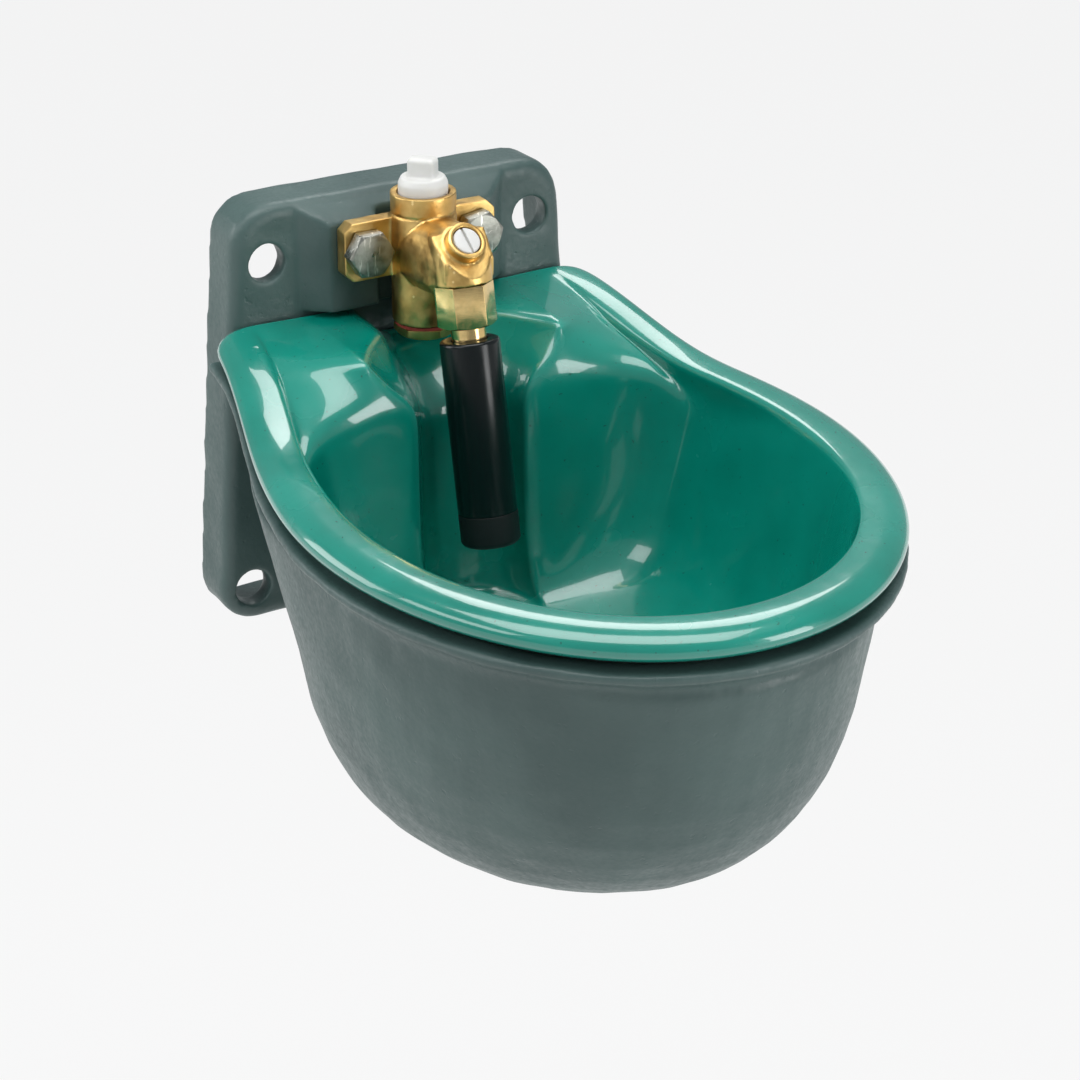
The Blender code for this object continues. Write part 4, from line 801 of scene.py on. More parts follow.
def cavity_ring(depth_share, grow, drop):
    """A ring of the cavity at a share of its depth, grown by a wall and lowered by a floor."""
    shrink = mix(1.0, (1 - depth_share ** BOTTOM_POWER) ** (1 / 3), BOTTOM_SHARE)
    half_width = (RIM_HALF_WIDE - RIM_WIDTH - DRAFT * depth_share) * shrink + grow
    reach = (RIM_WIDE_Y - RIM_FRONT_Y - RIM_WIDTH - DRAFT * depth_share) * shrink + grow
    funnel_share = smooth_step(depth_share / FUNNEL_DEPTH_SHARE)
    corner_share = smooth_step(depth_share / CORNER_SHARE)
    notch_half = mix(FUNNEL_HALF, CHANNEL_RADIUS, funnel_share) + grow
    channel_back = CHANNEL_Y + CHANNEL_RADIUS * mix(1.0, shrink, CHANNEL_BOTTOM_SHARE)
    back_y = mix(FUNNEL_BACK_Y, channel_back, funnel_share) + grow
    notch_power = mix(1.0, 0.5, funnel_share)
    rear_reach = (REAR_Y - RIM_WIDE_Y) * mix(1.0, shrink, REAR_BOTTOM_SHARE) + grow
    deep_mouth_y = RIM_WIDE_Y + rear_reach * (1 - (notch_half / half_width) ** REAR_POWER) ** (1 / REAR_POWER)
    mouth_y = mix(REAR_TOP_Y + grow, deep_mouth_y, funnel_share)
    half = []
    for i in range(NOTCH_STEPS):
        x = notch_half * math.sin(math.pi / 2 * i / NOTCH_STEPS)
        y = mouth_y + (back_y - mouth_y) * (1 - (x / notch_half) ** 2) ** notch_power
        half.append((x, y, shelf_height(x)))
    mouth_angle = math.acos((notch_half / half_width) ** (REAR_POWER / 2))
    for i, (top_x, top_y, edge_z) in enumerate(shoulder_outline()):
        if i < CORNER_STEPS:
            angle = mix(mouth_angle, math.pi / 4, i / CORNER_STEPS)
        else:
            angle = math.pi / 4 * (1 - (i - CORNER_STEPS) / SIDE_STEPS)
        x = half_width * math.cos(angle) ** (2 / REAR_POWER)
        y = RIM_WIDE_Y + rear_reach * math.sin(angle) ** (2 / REAR_POWER)
        half.append((mix(top_x + grow, x, corner_share), mix(top_y + grow, y, corner_share), edge_z))
    for i in range(FRONT_STEPS + 1):
        angle = math.pi / 2 * i / FRONT_STEPS
        x = half_width * max(math.cos(angle), 0.0) ** (2 / FRONT_POWER)
        y = RIM_WIDE_Y - reach * math.sin(angle) ** (2 / FRONT_POWER)
        half.append((x, y, crest_height(y)))
    return mirrored([(x, y, mix(edge, FLOOR_Z, depth_share) - drop) for x, y, edge in half])


def floor_ring(ring, share, z):
    middle_y = (REAR_Y + RIM_FRONT_Y) / 2 + RIM_WIDTH
    return [(x * share, mix(middle_y, y, share), z) for x, y, _ in ring]


def rim_level(rise_share):
    """Heights along a ring of the rolled rim, whose rear joins the shelf's edge."""
    def height(x, y):
        rear_share = smooth_step((y - RISE_START_Y) / (PLATE_FRONT_Y - RISE_START_Y))
        corner_share = smooth_step((RIM_HALF_PLATE - RIM_WIDTH - abs(x)) / RIM_WIDTH)
        shelf = mix(shelf_height(x), SHELF_DIP_Z - SHELF_THICKNESS, (1 - rise_share) / 2)
        return mix(rim_height(y) + RIM_HALF_HEIGHT * rise_share, shelf, rear_share * corner_share)
    return height


def bowl_rings():
    inner_shares = (0.985, 0.96, 0.92, 0.86, 0.78, 0.68, 0.56, 0.44, 0.33, 0.24, 0.18, 0.13, 0.085, 0.045,
                    0.012)
    outer_shares = (0.13, 0.24, 0.45, 0.65, 0.78, 0.87, 0.94, 0.98)
    rim_profile = ((0.90, 0.93), (0.70, 0.99), (0.48, 1.0), (0.27, 0.88), (0.12, 0.64), (0.03, 0.32),
                   (0.0, 0.0), (0.03, -0.35), (0.12, -0.66), (0.27, -0.90), (0.45, -1.0), (0.75, -1.0))
    rear_y = PLATE_FRONT_Y - FIT_GAP
    inner_floor = cavity_ring(inner_shares[0], 0.0, 0.0)
    rings = [floor_ring(inner_floor, share, FLOOR_Z) for share in (0.02, 0.2, 0.4, 0.62, 0.85)]
    rings += [cavity_ring(share, 0.0, 0.0) for share in inner_shares]
    for inset, rise_share in rim_profile:
        edge_y = rear_y - RIM_WIDTH * REAR_EDGE_LEAN * inset
        rings.append(rim_ring(RIM_WIDTH * inset, edge_y, rim_level(rise_share)))
    rings += [cavity_ring(share, BOWL_WALL, BOWL_WALL) for share in outer_shares]
    outer_floor = cavity_ring(outer_shares[-1], BOWL_WALL, BOWL_WALL)
    rings += [floor_ring(outer_floor, share, FLOOR_Z - BOWL_WALL) for share in (0.85, 0.4, 0.02)]
    return rings


def make_bowl(enamel):
    bowl = new_object("bowl_enamel", loft("bowl_enamel", bowl_rings()))
    subdivide(bowl, 2)
    finish_piece(bowl, enamel, "green_enamel", HOUSING_BODY, "inner_bowl")


# Casting
def shell_ring(z, grow, height_of=None):
    share = min(max((SHELL_TOP_Z - z) / (SHELL_TOP_Z - SHELL_BOTTOM_Z), 0.0), 1.0)
    round_off = (1 - share ** SHELL_DEPTH_POWER) ** (1 / SHELL_ROUND_POWER)
    centre_y = mix(SHELL_CENTRE_TOP_Y, SHELL_CENTRE_BOTTOM_Y, share)
    half_width = SHELL_HALF * round_off + grow
    reach = SHELL_REACH * round_off + grow
    square_share = smooth_step((z - SHELL_SQUARE_FROM_Z) / (SHELL_TOP_Z - SHELL_SQUARE_FROM_Z) * 2)
    rear_power = mix(2.0, SHELL_REAR_POWER, square_share)
    rear_steps = NOTCH_STEPS + CORNER_STEPS + SIDE_STEPS
    half = []
    for i in range(rear_steps):
        angle = math.pi / 2 * (1 - i / rear_steps)
        x = half_width * max(math.cos(angle), 0.0) ** (2 / rear_power)
        half.append((x, centre_y + reach * math.sin(angle) ** (2 / rear_power)))
    for i in range(FRONT_STEPS + 1):
        angle = math.pi / 2 * i / FRONT_STEPS
        half.append((max(half_width * math.cos(angle), 0.0), centre_y - reach * math.sin(angle)))
    return mirrored([(x, y, z if height_of is None else height_of(y)) for x, y in half])


def lip_height(drop):
    return lambda x, y: rim_height(y) - drop


def shell_form(grow, top_rings):
    shares = (0.0015, 0.006, 0.014, 0.028, 0.05, 0.08, 0.12, 0.17, 0.23, 0.30, 0.38, 0.46, 0.54)
    rings = []
    for share in shares:
        z = mix(SHELL_BOTTOM_Z, SHELL_TOP_Z, share)
        rings.append([(x, y, z - grow * (1 - share)) for x, y, _ in shell_ring(z, grow)])
    foot = [(x * 0.5, mix(SHELL_CENTRE_BOTTOM_Y, y, 0.5), SHELL_BOTTOM_Z - grow) for x, y, _ in rings[0]]
    rings.insert(0, foot)
    rings.append(shell_ring(0.0, grow, lambda y: rim_height(y) - SHOULDER_DROP))
    return rings + top_rings


def outer_shell():
    rear_y = PLATE_FRONT_Y + PLATE_WALL / 2
    lip_bottom = LIP_DROP + LIP_THICKNESS
    edge = LIP_THICKNESS * 0.25
    top = [rim_ring(inset, rear_y, lip_height(mix(lip_bottom, SHOULDER_DROP, share)))
           for inset, share in LIP_FLARE]
    top += [
        rim_ring(-LIP_PROUD + edge, rear_y, lip_height(lip_bottom)),
        rim_ring(-LIP_PROUD, rear_y, lip_height(lip_bottom - edge)),
        rim_ring(-LIP_PROUD, rear_y, lip_height(LIP_DROP + edge)),
        rim_ring(-LIP_PROUD + edge, rear_y, lip_height(LIP_DROP)),
        rim_ring(LIP_INNER_INSET * 1.5, rear_y, lip_height(LIP_DROP)),
    ]
    return loft("outer_shell", shell_form(0.0, top))


def shell_cavity():
    rear_y = PLATE_FRONT_Y + CAVITY_REAR_INSET
    top = [rim_ring(LIP_INNER_INSET, rear_y, lip_height(drop), shift=CAVITY_SHIFT)
           for drop in (SHOULDER_DROP - SHELL_WALL, 0.0)]
    return loft("shell_cavity", shell_form(-SHELL_WALL, top))


def plate_corners(inset):
    return [
        (-PLATE_HALF_BOTTOM + inset, PLATE_BOTTOM + inset),
        (PLATE_HALF_BOTTOM - inset, PLATE_BOTTOM + inset),
        (PLATE_HALF_TOP - inset, PLATE_TOP - inset),
        (-PLATE_HALF_TOP + inset, PLATE_TOP - inset),
    ]


def plate_mesh():
    """The plate's block with its front edges rounded."""
    profile = [(0.0, 0.0)]
    for i in range(PLATE_ROUND_STEPS + 1):
        angle = math.pi / 2 * i / PLATE_ROUND_STEPS
        inset = PLATE_ROUND * (1 - math.cos(angle))
        profile.append((inset, PLATE_FRONT_Y + PLATE_ROUND * (1 - math.sin(angle))))
    rings = []
    for inset, y in profile:
        outline = rounded(plate_corners(inset), PLATE_CORNER - inset * 0.5)
        rings.append([(x, y, z) for x, z in outline])
    return loft("plate", rings)


def pad_mesh():
    top_z = PLATE_TOP - PAD_TOP_DROP
    inner_y = PLATE_FRONT_Y + PLATE_WALL / 2
    levels = (
        (0.0, inner_y),
        (0.0, PLATE_FRONT_Y - PAD_STEP),
        (0.5, PLATE_FRONT_Y - PAD_MIDDLE),
        (1.0, PAD_FRONT_Y),
    )
    rings = []
    for share, y in levels:
        half = PAD_HALF + PAD_FLANK * (1 - share)
        high = top_z - PAD_TOP_SLOPE * share
        rings.append([(-half, y, PAD_FOOT_Z), (half, y, PAD_FOOT_Z), (half, y, high), (-half, y, high)])
    return loft("pad", rings)


def pan_mesh(low_z, high_z):
    """A hollow in the back of the plate."""
    def half_at(z):
        share = (z - PLATE_BOTTOM) / (PLATE_TOP - PLATE_BOTTOM)
        return mix(PLATE_HALF_BOTTOM, PLATE_HALF_TOP, share) - PLATE_SIDE
    corners = [(-half_at(low_z), low_z), (half_at(low_z), low_z), (half_at(high_z), high_z),
               (-half_at(high_z), high_z)]
    outline = rounded(corners, PLATE_CORNER - PLATE_SIDE)
    rings = [[(x, y, z) for x, z in outline] for y in (OVERRUN, PLATE_FRONT_Y + PLATE_WALL)]
    return loft("pan", rings)


def upright(name, radius, y, low_z, high_z):
    return rod(name, radius, (0, y, low_z), (0, y, high_z), turn=ROD_TURN)


def add_bosses(casting):
    for y in BOSS_PLACES:
        join(casting, upright("spot_face", SPOT_FACE_RADIUS, y, SPOT_FACE_Z, SHELL_BOTTOM_Z + OVERRUN))
    join(casting, upright("gland_boss", GLAND_BOSS_RADIUS, GLAND_Y, GLAND_BOSS_Z, GLAND_BOSS_ROOT_Z))


def cut_bottom_holes(casting):
    for y in BOSS_PLACES:
        cut(casting, upright("bore", BORE_RADIUS, y, SPOT_FACE_Z - OVERRUN, SHELL_BOTTOM_Z + BORE_DEPTH))
    cut(casting, upright("gland_hole", GLAND_HOLE_RADIUS, GLAND_Y, GLAND_BOSS_Z - OVERRUN, GLAND_HOLE_TOP_Z))


def cut_plate(casting):
    cut(casting, pan_mesh(REAR_RIB_HALF, PLATE_TOP - PLATE_SIDE))
    cut(casting, pan_mesh(PLATE_BOTTOM + PLATE_SIDE, -REAR_RIB_HALF))
    for x, z in HOLES:
        front = (x, PLATE_FRONT_Y - OVERRUN, z)
        rear = (x, PLATE_FRONT_Y + PLATE_WALL + OVERRUN, z)
        cut(casting, rod("hole", HOLE_RADIUS, front, rear))
    cut(casting, box("groove", (-GROOVE_HALF, PAD_FRONT_Y - OVERRUN, SHELF_Z),
                     (GROOVE_HALF, PAD_FRONT_Y + GROOVE_DEPTH, PLATE_TOP + OVERRUN)))


def make_casting(paint):
    casting = new_object("casting", outer_shell())
    join(casting, plate_mesh())
    join(casting, pad_mesh())
    join(casting, box("neck", (-NECK_HALF, PLATE_FRONT_Y - NECK_REACH, PLATE_BOTTOM + NECK_FOOT_RISE),
                      (NECK_HALF, PLATE_FRONT_Y + PLATE_WALL / 2, NECK_TOP_Z)))
    add_bosses(casting)
    cut(casting, shell_cavity())
    cut_bottom_holes(casting)
    cut_plate(casting)
    soften(casting, CASTING_VOXEL, CASTING_ROUNDS)
    ripple(casting, *CASTING_LUMPS)
    finish_piece(casting, paint, "painted_casting", HOUSING_BODY, "outer_housing")


def make_rim_cord(black):
    """The rubber cord in the gap under the rim."""
    ring = rim_ring(CORD_INSET, PLATE_FRONT_Y - CORD_REAR_GAP, lip_height(RIM_HALF_HEIGHT + CORD_DROP))
    right = ring[NOTCH_STEPS + CORNER_STEPS:len(ring) // 2 + 1]
    points = right + [(-x, y, z) for x, y, z in reversed(right[:-1])]
    curve = bpy.data.curves.new("rim_cord", 'CURVE')
    curve.dimensions = '3D'
    curve.bevel_depth = CORD_RADIUS
    curve.bevel_resolution = 2
    curve.use_fill_caps = True
    spline = curve.splines.new('POLY')
    spline.points.add(len(points) - 1)
    for knot, point in zip(spline.points, points):
        knot.co = (*point, 1.0)
    guide = new_object("rim_cord", curve)
    mesh = evaluated_mesh(guide)
    bpy.data.objects.remove(guide, do_unlink=True)
    cord = new_object("rim_cord", mesh)
    cord.data.shade_smooth()
    finish_piece(cord, black, "black_rubber", HOUSING_BODY, "rim_seal")


# Valve
def axis_point(rise):
    return NUT_FOOT + Vector((0, math.sin(TUBE_TILT), math.cos(TUBE_TILT))) * rise


def outlet_frame():
    return along(axis_point(0), axis_point(1))


def regulator_point(depth):
    return REGULATOR + Vector((0, math.cos(REGULATOR_TILT), -math.sin(REGULATOR_TILT))) * depth


def flange_mesh(back_y):
    half = FLANGE_HALF
    tall = FLANGE_HALF_HEIGHT
    trim = FLANGE_CHAMFER
    outline = [(-half, -tall + trim), (-half + trim, -tall), (half - trim, -tall), (half, -tall + trim),
               (half, tall - trim), (half - trim, tall), (-half + trim, tall), (-half, tall - trim)]
    rings = [[(x, y, z + FLANGE_Z) for x, z in outline] for y in (back_y, back_y - FLANGE_THICKNESS)]
    return loft("flange", rings)


def column_mesh():
    """The upright pipe column, with a fine ring cut below its socket."""
    neck = SOCKET_RADIUS - SOCKET_NECK_INSET
    profile = [(SOCKET_RADIUS, PORT_BOTTOM_Z), (SOCKET_RADIUS, SOCKET_RING_Z - SOCKET_RING_HALF),
               (SOCKET_RADIUS - SOCKET_RING_DEPTH, SOCKET_RING_Z), (neck, SOCKET_RING_Z + SOCKET_RING_HALF),
               (neck, SOCKET_TOP_Z)]
    return turned("column", profile, Matrix.Translation((0, PIPE_Y, 0)))


def arch_ring(y, half, bottom_z, top_z):
    """A cross-section of the body between pipe and outlet: flat below, arched above."""
    start_z = mix(bottom_z, top_z, ARCH_START_SHARE)
    flank_z = mix(bottom_z, start_z, ARCH_FLANK_SHARE)
    ring = [(-half * ARCH_FOOT_SHARE, y, bottom_z), (half * ARCH_FOOT_SHARE, y, bottom_z), (half, y, flank_z)]
    for i in range(ARCH_STEPS + 1):
        angle = math.pi * i / ARCH_STEPS
        x = half * math.copysign(abs(math.cos(angle)) ** ARCH_POWER, math.cos(angle))
        ring.append((x, y, start_z + (top_z - start_z) * math.sin(angle) ** ARCH_POWER))
    ring.append((-half, y, flank_z))
    return ring


def body_mesh():
    """The arched body, which narrows from the column to the outlet."""
    return loft("block", [
        arch_ring(PIPE_Y + 0.004, BODY_HALF, BODY_BOTTOM_Z, BODY_TOP_Z - 0.0018),
        arch_ring(PIPE_Y - 0.014, BODY_HALF, BODY_BOTTOM_Z, BODY_TOP_Z - 0.0010),
        arch_ring(PIPE_Y - 0.026, BODY_HALF * 0.97, BODY_BOTTOM_Z + 0.001, BODY_TOP_Z),
        arch_ring(NUT_FOOT.y - 0.002, OUTLET_RADIUS * 0.92, BODY_BOTTOM_Z + 0.006, BODY_TOP_Z),
    ])


def add_outlet(valve):
    """The outlet, the slope above it and the regulator's boss on the slope."""
    foot = axis_point(NUT_HEIGHT + FIT_GAP)
    join(valve, rod("outlet", OUTLET_RADIUS, foot, axis_point(NUT_HEIGHT + OUTLET_HEIGHT), TURN_STEPS))
    cut(valve, rod("slope", OUTLET_RADIUS * 3, regulator_point(REGULATOR_BOSS_PROUD),
                   regulator_point(-SLOPE_CUT_REACH), steps=4, turn=math.pi / 4))
    join(valve, rod("boss", REGULATOR_BOSS_RADIUS, regulator_point(0), regulator_point(REGULATOR_BOSS_DEPTH),
                    TURN_STEPS))


def cut_valve(valve, back_y):
    """Pipe bore, socket mouth, regulator seat, spring chamber and bolt holes."""
    top = (0, PIPE_Y, SOCKET_TOP_Z + OVERRUN)
    cut(valve, rod("bore", PIPE_BORE, (0, PIPE_Y, PORT_BOTTOM_Z - OVERRUN), top))
    cut(valve, rod("mouth", SOCKET_MOUTH, (0, PIPE_Y, SOCKET_TOP_Z - SOCKET_MOUTH_DEPTH), top))
    cut(valve, rod("seat", REGULATOR_HEAD_RADIUS + FIT_GAP, regulator_point(-OVERRUN),
                   regulator_point(REGULATOR_SEAT_DEPTH)))
    low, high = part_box("valve_spring")
    radius = (high[0] - low[0]) / 2 + SPRING_ROOM
    cut(valve, rod("chamber", radius, axis_point(NUT_HEIGHT - OVERRUN), axis_point(CHAMBER_TOP)))
    for side in (-1, 1):
        x = side * BOLT_X
        cut(valve, rod("hole", BOLT_RADIUS + BOLT_HOLE_GAP, (x, back_y - FLANGE_HOLE_REACH, FLANGE_Z),
                       (x, back_y + OVERRUN, FLANGE_Z)))


def make_valve(brass):
    back_y = PAD_FRONT_Y - FIT_GAP
    valve = new_object("valve_casting", flange_mesh(back_y))
    join(valve, column_mesh())
    join(valve, body_mesh())
    add_outlet(valve)
    cut_valve(valve, back_y)
    soften(valve, VALVE_VOXEL, SMALL_PIECE_ROUNDS)
    ripple(valve, *VALVE_LUMPS)
    finish_piece(valve, brass, "cast_brass", HOUSING_BODY, "valve_body")


def hexagon(name, flats, profile, matrix, turn):
    """A hexagon prism whose corners are cut by a turned profile, as on a real nut or bolt head."""
    radius = flats / math.sqrt(3)
    low = profile[0][1] - HEXAGON_SLACK
    high = profile[-1][1] + HEXAGON_SLACK
    prism = turned(name, [(radius, low), (radius, high)], Matrix.Rotation(turn, 4, 'Z'), steps=6)
    piece = new_object(name, prism)
    combine(piece, turned("cone", profile, Matrix.Rotation(CONE_TURN, 4, 'Z')), 'INTERSECT')
    piece.data.transform(matrix)
    return piece


def chamfered(flats, height, chamfer_low, chamfer_high, slope=CHAMFER_SLOPE):
    """Turned profile that takes the corners off a hexagon."""
    corner = flats / math.sqrt(3) + HEXAGON_SLACK
    inner = flats / 2 * CHAMFER_START
    drop = (corner - inner) * slope
    low = [(inner, 0), (corner, drop)] if chamfer_low else [(corner, 0)]
    high = [(corner, height - drop), (inner, height)] if chamfer_high else [(corner, height)]
    return low + high


def make_union_nut(brass):
    profile = chamfered(NUT_FLATS, NUT_HEIGHT, True, False, slope=NUT_SLOPE)
    nut = hexagon("outlet_nut", NUT_FLATS, profile, outlet_frame(), HEXAGON_TURN + NUT_TURN)
    cut(nut, rod("bore", NUT_BORE, axis_point(-OVERRUN), axis_point(NUT_BORE_TOP)))
    cut(nut, rod("thread", NUT_THREAD, axis_point(NUT_THREAD_FOOT), axis_point(NUT_HEIGHT + OVERRUN)))
    bevel(nut, NUT_EDGE, 2)
    finish_piece(nut, brass, "turned_brass", HOUSING_BODY, "union_nut")


def make_bolt(name, node, size, place, axis, steel, slot, turn):
    """A hexagon bolt: its head stands against the axis direction, its shank runs along it."""
    flats, head, radius, length = size
    start = Vector(place)
    towards = Vector(axis)
    matrix = along(start, start - towards)
    bolt = hexagon(name, flats, chamfered(flats, head, False, True), matrix, turn)
    join(bolt, rod("shank", radius, start - towards * head / 2, start + towards * length, SHANK_STEPS))
    bevel(bolt, FINE_EDGE, 2)
    finish_piece(bolt, steel, slot, HOUSING_BODY, node)


def make_flange_bolts(steel):
    front_y = PAD_FRONT_Y - FIT_GAP - FLANGE_THICKNESS - FLANGE_BOLT_GAP
    for label, side, turn in FLANGE_BOLT_TURNS:
        make_bolt("bolt_" + label, "flange_bolt_" + label, FLANGE_BOLT, (side * BOLT_X, front_y, FLANGE_Z),
                  (0, 1, 0), steel, "worn_steel", turn)


def make_tube(brass):
    end = SLEEVE_BOTTOM + TUBE_END_INSET
    profile = [(TUBE_BORE, end), (TUBE_RADIUS, end)]
    low = -math.sqrt(TUBE_HEAD_RADIUS ** 2 - TUBE_RADIUS ** 2)
    for i in range(TUBE_HEAD_STEPS + 1):
        height = mix(low, TUBE_HEAD_TOP, i / TUBE_HEAD_STEPS)
        profile.append((math.sqrt(TUBE_HEAD_RADIUS ** 2 - height ** 2), PIVOT_RISE + height))
    profile.append((TUBE_BORE, PIVOT_RISE + TUBE_HEAD_TOP))
    tube = new_object("outlet_tube", turned("outlet_tube", profile, outlet_frame(), closed=True))
    bevel(tube, FINE_EDGE, 2)
    finish_piece(tube, brass, "turned_brass", "tube", "valve_tube")


def make_sleeve(plastic, dark_rubber):
    inner = TUBE_RADIUS + FIT_GAP
    tip_top = SLEEVE_BOTTOM + TIP_HEIGHT
    end = tip_top + SEAM_HEIGHT
    corners = [(inner, SLEEVE_TOP), (inner, end), (SLEEVE_RADIUS - SEAM_DEPTH, end),
               (SLEEVE_RADIUS, end + SEAM_HEIGHT), (SLEEVE_RADIUS, SLEEVE_TOP - 0.0012),
               (SLEEVE_RADIUS - 0.0004, SLEEVE_TOP - 0.0003), (SLEEVE_RADIUS - 0.0012, SLEEVE_TOP)]
    outline = rounded(corners, SLEEVE_FILLET, 2)
    sleeve = new_object("sleeve", turned("sleeve", outline, outlet_frame(), closed=True))
    shade(sleeve, TURNED_SHARP_ANGLE)
    finish_piece(sleeve, plastic, "black_plastic", "tube", "tube_sleeve")
    corners = [(inner, tip_top), (inner, SLEEVE_BOTTOM), (SLEEVE_RADIUS - TIP_ROUND, SLEEVE_BOTTOM),
               (SLEEVE_RADIUS, SLEEVE_BOTTOM + TIP_ROUND), (SLEEVE_RADIUS, tip_top - SEAM_HEIGHT),
               (SLEEVE_RADIUS - SEAM_DEPTH, tip_top)]
    outline = rounded(corners, TIP_FILLET, 3)
    tip = new_object("sleeve_end", turned("sleeve_end", outline, outlet_frame(), closed=True))
    shade(tip, TURNED_SHARP_ANGLE)
    finish_piece(tip, dark_rubber, "dark_rubber", "tube", "sleeve_tip")


def make_regulator(plastic):
    head = REGULATOR_HEAD_RADIUS
    corners = [(REGULATOR_STEM_RADIUS, REGULATOR_LENGTH), (REGULATOR_STEM_RADIUS, REGULATOR_HEAD_HEIGHT),
               (head, REGULATOR_HEAD_HEIGHT), (head, REGULATOR_HEAD_INSET),
               (head * 0.3, REGULATOR_HEAD_INSET)]
    matrix = along(regulator_point(0), regulator_point(1))
    outline = rounded(corners, SCREW_FILLET, 4, False)
    screw = new_object("slotted_screw", turned("slotted_screw", outline, matrix))
    slot = box("slot", (-SLOT_WIDTH / 2, -head - OVERRUN, -OVERRUN),
               (SLOT_WIDTH / 2, head + OVERRUN, SLOT_DEPTH))
    slot.transform(matrix @ Matrix.Rotation(SLOT_TURN, 4, 'Z'))
    cut(screw, slot)
    bevel(screw, SCREW_EDGE, 2, 50)
    finish_piece(screw, plastic, "white_plastic", "regulator", "regulator_screw")


def make_stopper(plastic):
    matrix = Matrix.Translation((0, PIPE_Y, SOCKET_TOP_Z))
    outline = rounded(STOPPER_OUTLINE, STOPPER_FILLET, 4, False)
    stopper = new_object("stopper", turned("stopper", outline, matrix))
    tab = new_object("tab", box("tab", TAB_LOW, TAB_HIGH))
    bevel(tab, TAB_EDGE, 4)
    tab.data.transform(matrix @ Matrix.Rotation(TAB_TURN, 4, 'Z'))
    join(stopper, tab.data.copy())
    bpy.data.objects.remove(tab, do_unlink=True)
    soften(stopper, STOPPER_VOXEL, SMALL_PIECE_ROUNDS)
    finish_piece(stopper, plastic, "white_plastic", "plug", "transport_plug")


# Fittings below
def make_bowl_bolts(steel):
    outline = rounded([(BORE_RADIUS, 0), (BORE_RADIUS, -WASHER_THICKNESS), (WASHER_RADIUS, -WASHER_THICKNESS),
                       (WASHER_RADIUS, 0)], WASHER_FILLET, 3)
    for label, y in zip(("front", "rear"), BOSS_PLACES):
        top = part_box("bowl_washer_" + label)[1][2]
        matrix = Matrix.Translation((0, y, top))
        washer = new_object("washer_" + label, turned("washer", outline, matrix, closed=True))
        washer.data.shade_smooth()
        finish_piece(washer, steel, "zinc_steel", HOUSING_BODY, "bowl_washer_" + label)
        make_bolt("bottom_bolt_" + label, "bowl_bolt_" + label, BOTTOM_BOLT, (0, y, top - BOTTOM_BOLT_GAP),
                  (0, 0, 1), steel, "zinc_steel", BOTTOM_BOLT_TURN)


def make_gland_nut(brass):
    low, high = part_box("gland_nut")
    low_z = low[2]
    profile = chamfered(GLAND_NUT_FLATS, high[2] - low_z, True, True)
    matrix = Matrix.Translation((0, GLAND_Y, low_z))
    nut = hexagon("gland_cap", GLAND_NUT_FLATS, profile, matrix, HEXAGON_TURN)
    cut(nut, rod("bore", GLAND_HOLE_RADIUS, (0, GLAND_Y, low_z + GLAND_NUT_FLOOR),
                 (0, GLAND_Y, high[2] + OVERRUN)))
    cut(nut, rod("mouth", GLAND_MOUTH_RADIUS, (0, GLAND_Y, low_z - OVERRUN),
                 (0, GLAND_Y, low_z + GLAND_MOUTH_DEPTH)))
    bevel(nut, FITTING_EDGE, 2)
    finish_piece(nut, brass, "turned_brass", HOUSING_BODY, "gland_nut")


def make_port_blank(cast):
    low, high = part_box("port_plug")
    blank = hexagon("port_blank", BLANK_FLATS, chamfered(BLANK_FLATS, BLANK_HEAD, True, False),
                    Matrix.Translation((0, PIPE_Y, low[2])), HEXAGON_TURN)
    join(blank, rod("shank", BLANK_SHANK_RADIUS, (0, PIPE_Y, low[2] + OVERRUN), (0, PIPE_Y, high[2])))
    bevel(blank, FITTING_EDGE, 2)
    finish_piece(blank, cast, "cast_brass", HOUSING_BODY, "port_plug")


def dress_nodes(looks):
    """Materials for the solids that stay as they are."""
    for node, material in looks.items():
        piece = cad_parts[node]
        piece.data.materials.clear()
        piece.data.materials.append(material)


# Studio
def make_light(name, place, width, height, power):
    data = bpy.data.lights.new(name, 'AREA')
    data.shape = 'RECTANGLE'
    data.size = width
    data.size_y = height
    data.energy = power
    light = bpy.data.objects.new(name, data)
    bpy.context.scene.collection.objects.link(light)
    light.location = place
    light.rotation_euler = (Vector(LIGHT_TARGET) - Vector(place)).to_track_quat('-Z', 'Y').to_euler()


def make_backdrop(pale, floor_z):
    """A pale wall round the studio, which adds no light to the object."""
    foot_z = floor_z - FLOOR_THICKNESS / 2
    profile = [(BACKDROP_RADIUS, foot_z), (BACKDROP_RADIUS, floor_z + BACKDROP_HEIGHT)]
    backdrop = new_object("backdrop", turned("backdrop", profile))
    backdrop.data.materials.append(pale)
    backdrop.visible_diffuse = False
    backdrop.visible_glossy = False
    backdrop.visible_transmission = False
    backdrop.visible_shadow = False


def make_surroundings():
    world = bpy.data.worlds.new("studio")
    bpy.context.scene.world = world
    world.use_nodes = True
    background = world.node_tree.nodes["Background"]
    background.inputs["Color"].default_value = SURROUNDINGS_COLOUR
    background.inputs["Strength"].default_value = SURROUNDINGS


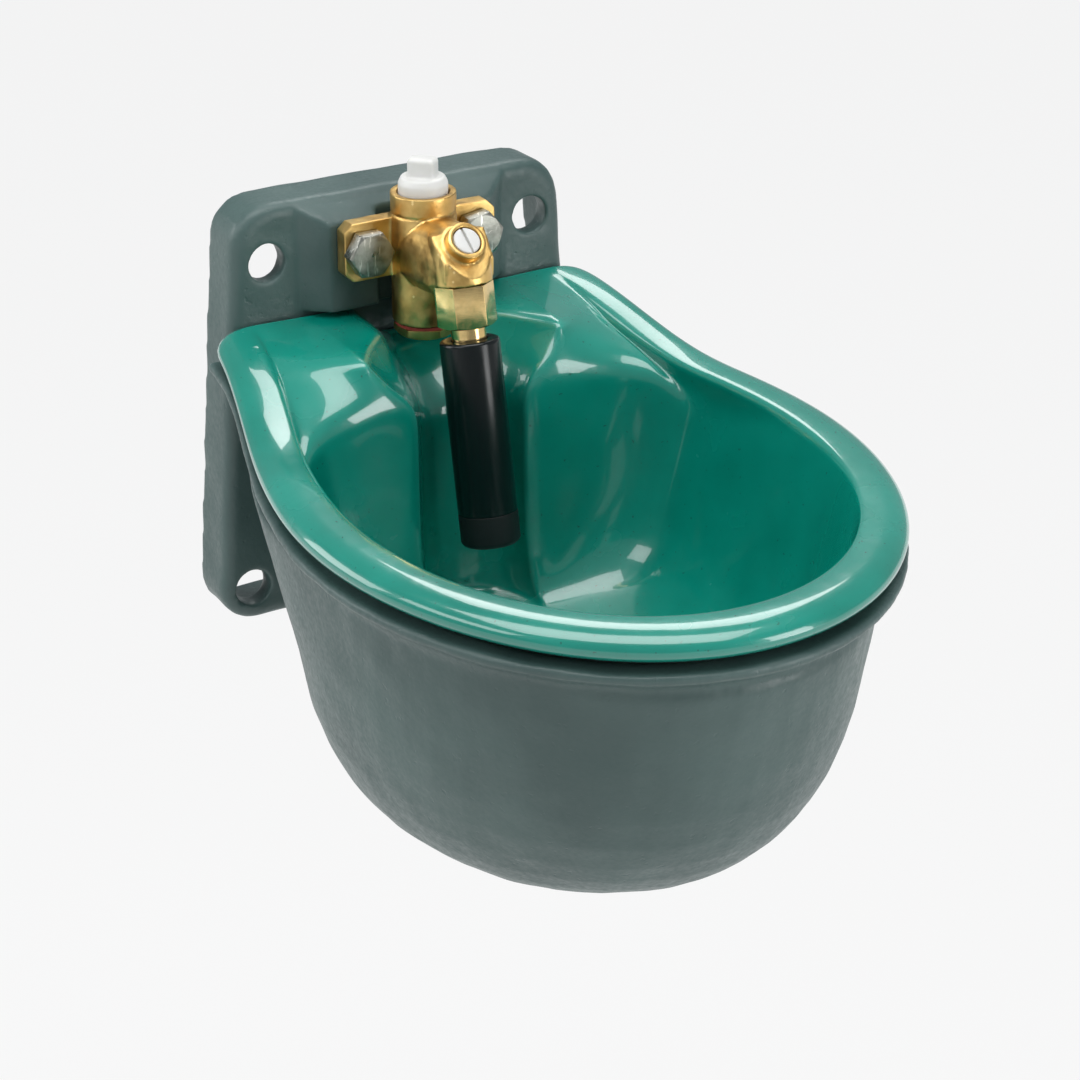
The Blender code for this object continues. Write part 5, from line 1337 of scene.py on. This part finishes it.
def make_studio():
    """A pale light table, a backdrop, dim surroundings and five soft boxes."""
    floor_z = CAD_BOX[0][2] - FLOOR_DROP
    half = FLOOR_HALF
    slab = box("floor", (-half, -half, floor_z - FLOOR_THICKNESS), (half, half, floor_z))
    floor = new_object("floor", slab)
    pale = pale_floor()
    floor.data.materials.append(pale)
    make_backdrop(pale, floor_z)
    make_surroundings()
    bpy.context.scene.view_settings.view_transform = 'Standard'
    for soft_box in SOFT_BOXES:
        make_light(*soft_box)


def make_camera():
    camera = bpy.data.objects.new("camera", bpy.data.cameras.new("camera"))
    bpy.context.scene.collection.objects.link(camera)
    camera.data.lens = LENS
    camera.data.sensor_width = SENSOR
    camera.location = CAMERA_PLACE
    camera.rotation_euler = (math.pi / 2 - CAMERA_ELEVATION, 0, CAMERA_AZIMUTH)
    bpy.context.scene.camera = camera


def make_object():
    enamel = green_enamel()
    casting_paint = painted_casting()
    brass = cast_brass()
    bright_brass = turned_brass()
    bolt_steel = worn_steel("worn_steel", (0.40, 0.40, 0.355), 0.34)
    zinc = worn_steel("zinc_steel", (0.52, 0.52, 0.49), 0.38)
    black = rubber("black_rubber", (0.012, 0.013, 0.014), 0.6)
    dark = rubber("dark_rubber", (0.0045, 0.0065, 0.0070), 0.52)
    sleeve_black = black_plastic()
    white = white_plastic()
    make_bowl(enamel)
    make_casting(casting_paint)
    make_rim_cord(black)
    make_valve(brass)
    make_union_nut(bright_brass)
    make_flange_bolts(bolt_steel)
    make_tube(bright_brass)
    make_sleeve(sleeve_black, dark)
    make_regulator(white)
    make_stopper(white)
    make_bowl_bolts(zinc)
    make_gland_nut(bright_brass)
    make_port_blank(brass)
    dress_nodes({
        "insulation_liner": plain_finish("grey_felt", (0.35, 0.35, 0.34), 0.9, 0.002, 0.0004),
        "heating_cable": plain_finish("red_silicone", (0.45, 0.05, 0.03), 0.5, 0.004, 0.0001),
        "thermostat": zinc,
        "thermostat_clip": zinc,
        "clip_screw": zinc,
        "gland_body": bright_brass,
        "gland_locknut": bright_brass,
        "gland_seal": black,
        "rubber_seat": black,
        "valve_spring": plain_finish("spring_steel", (0.45, 0.45, 0.44), 0.3, 0.001, 0.00002, 1.0),
        "regulator_ring": black,
        "port_seal": plain_finish("red_fibre", (0.40, 0.06, 0.04), 0.8, 0.0015, 0.0001),
    })


make_camera()
make_studio()
make_object()
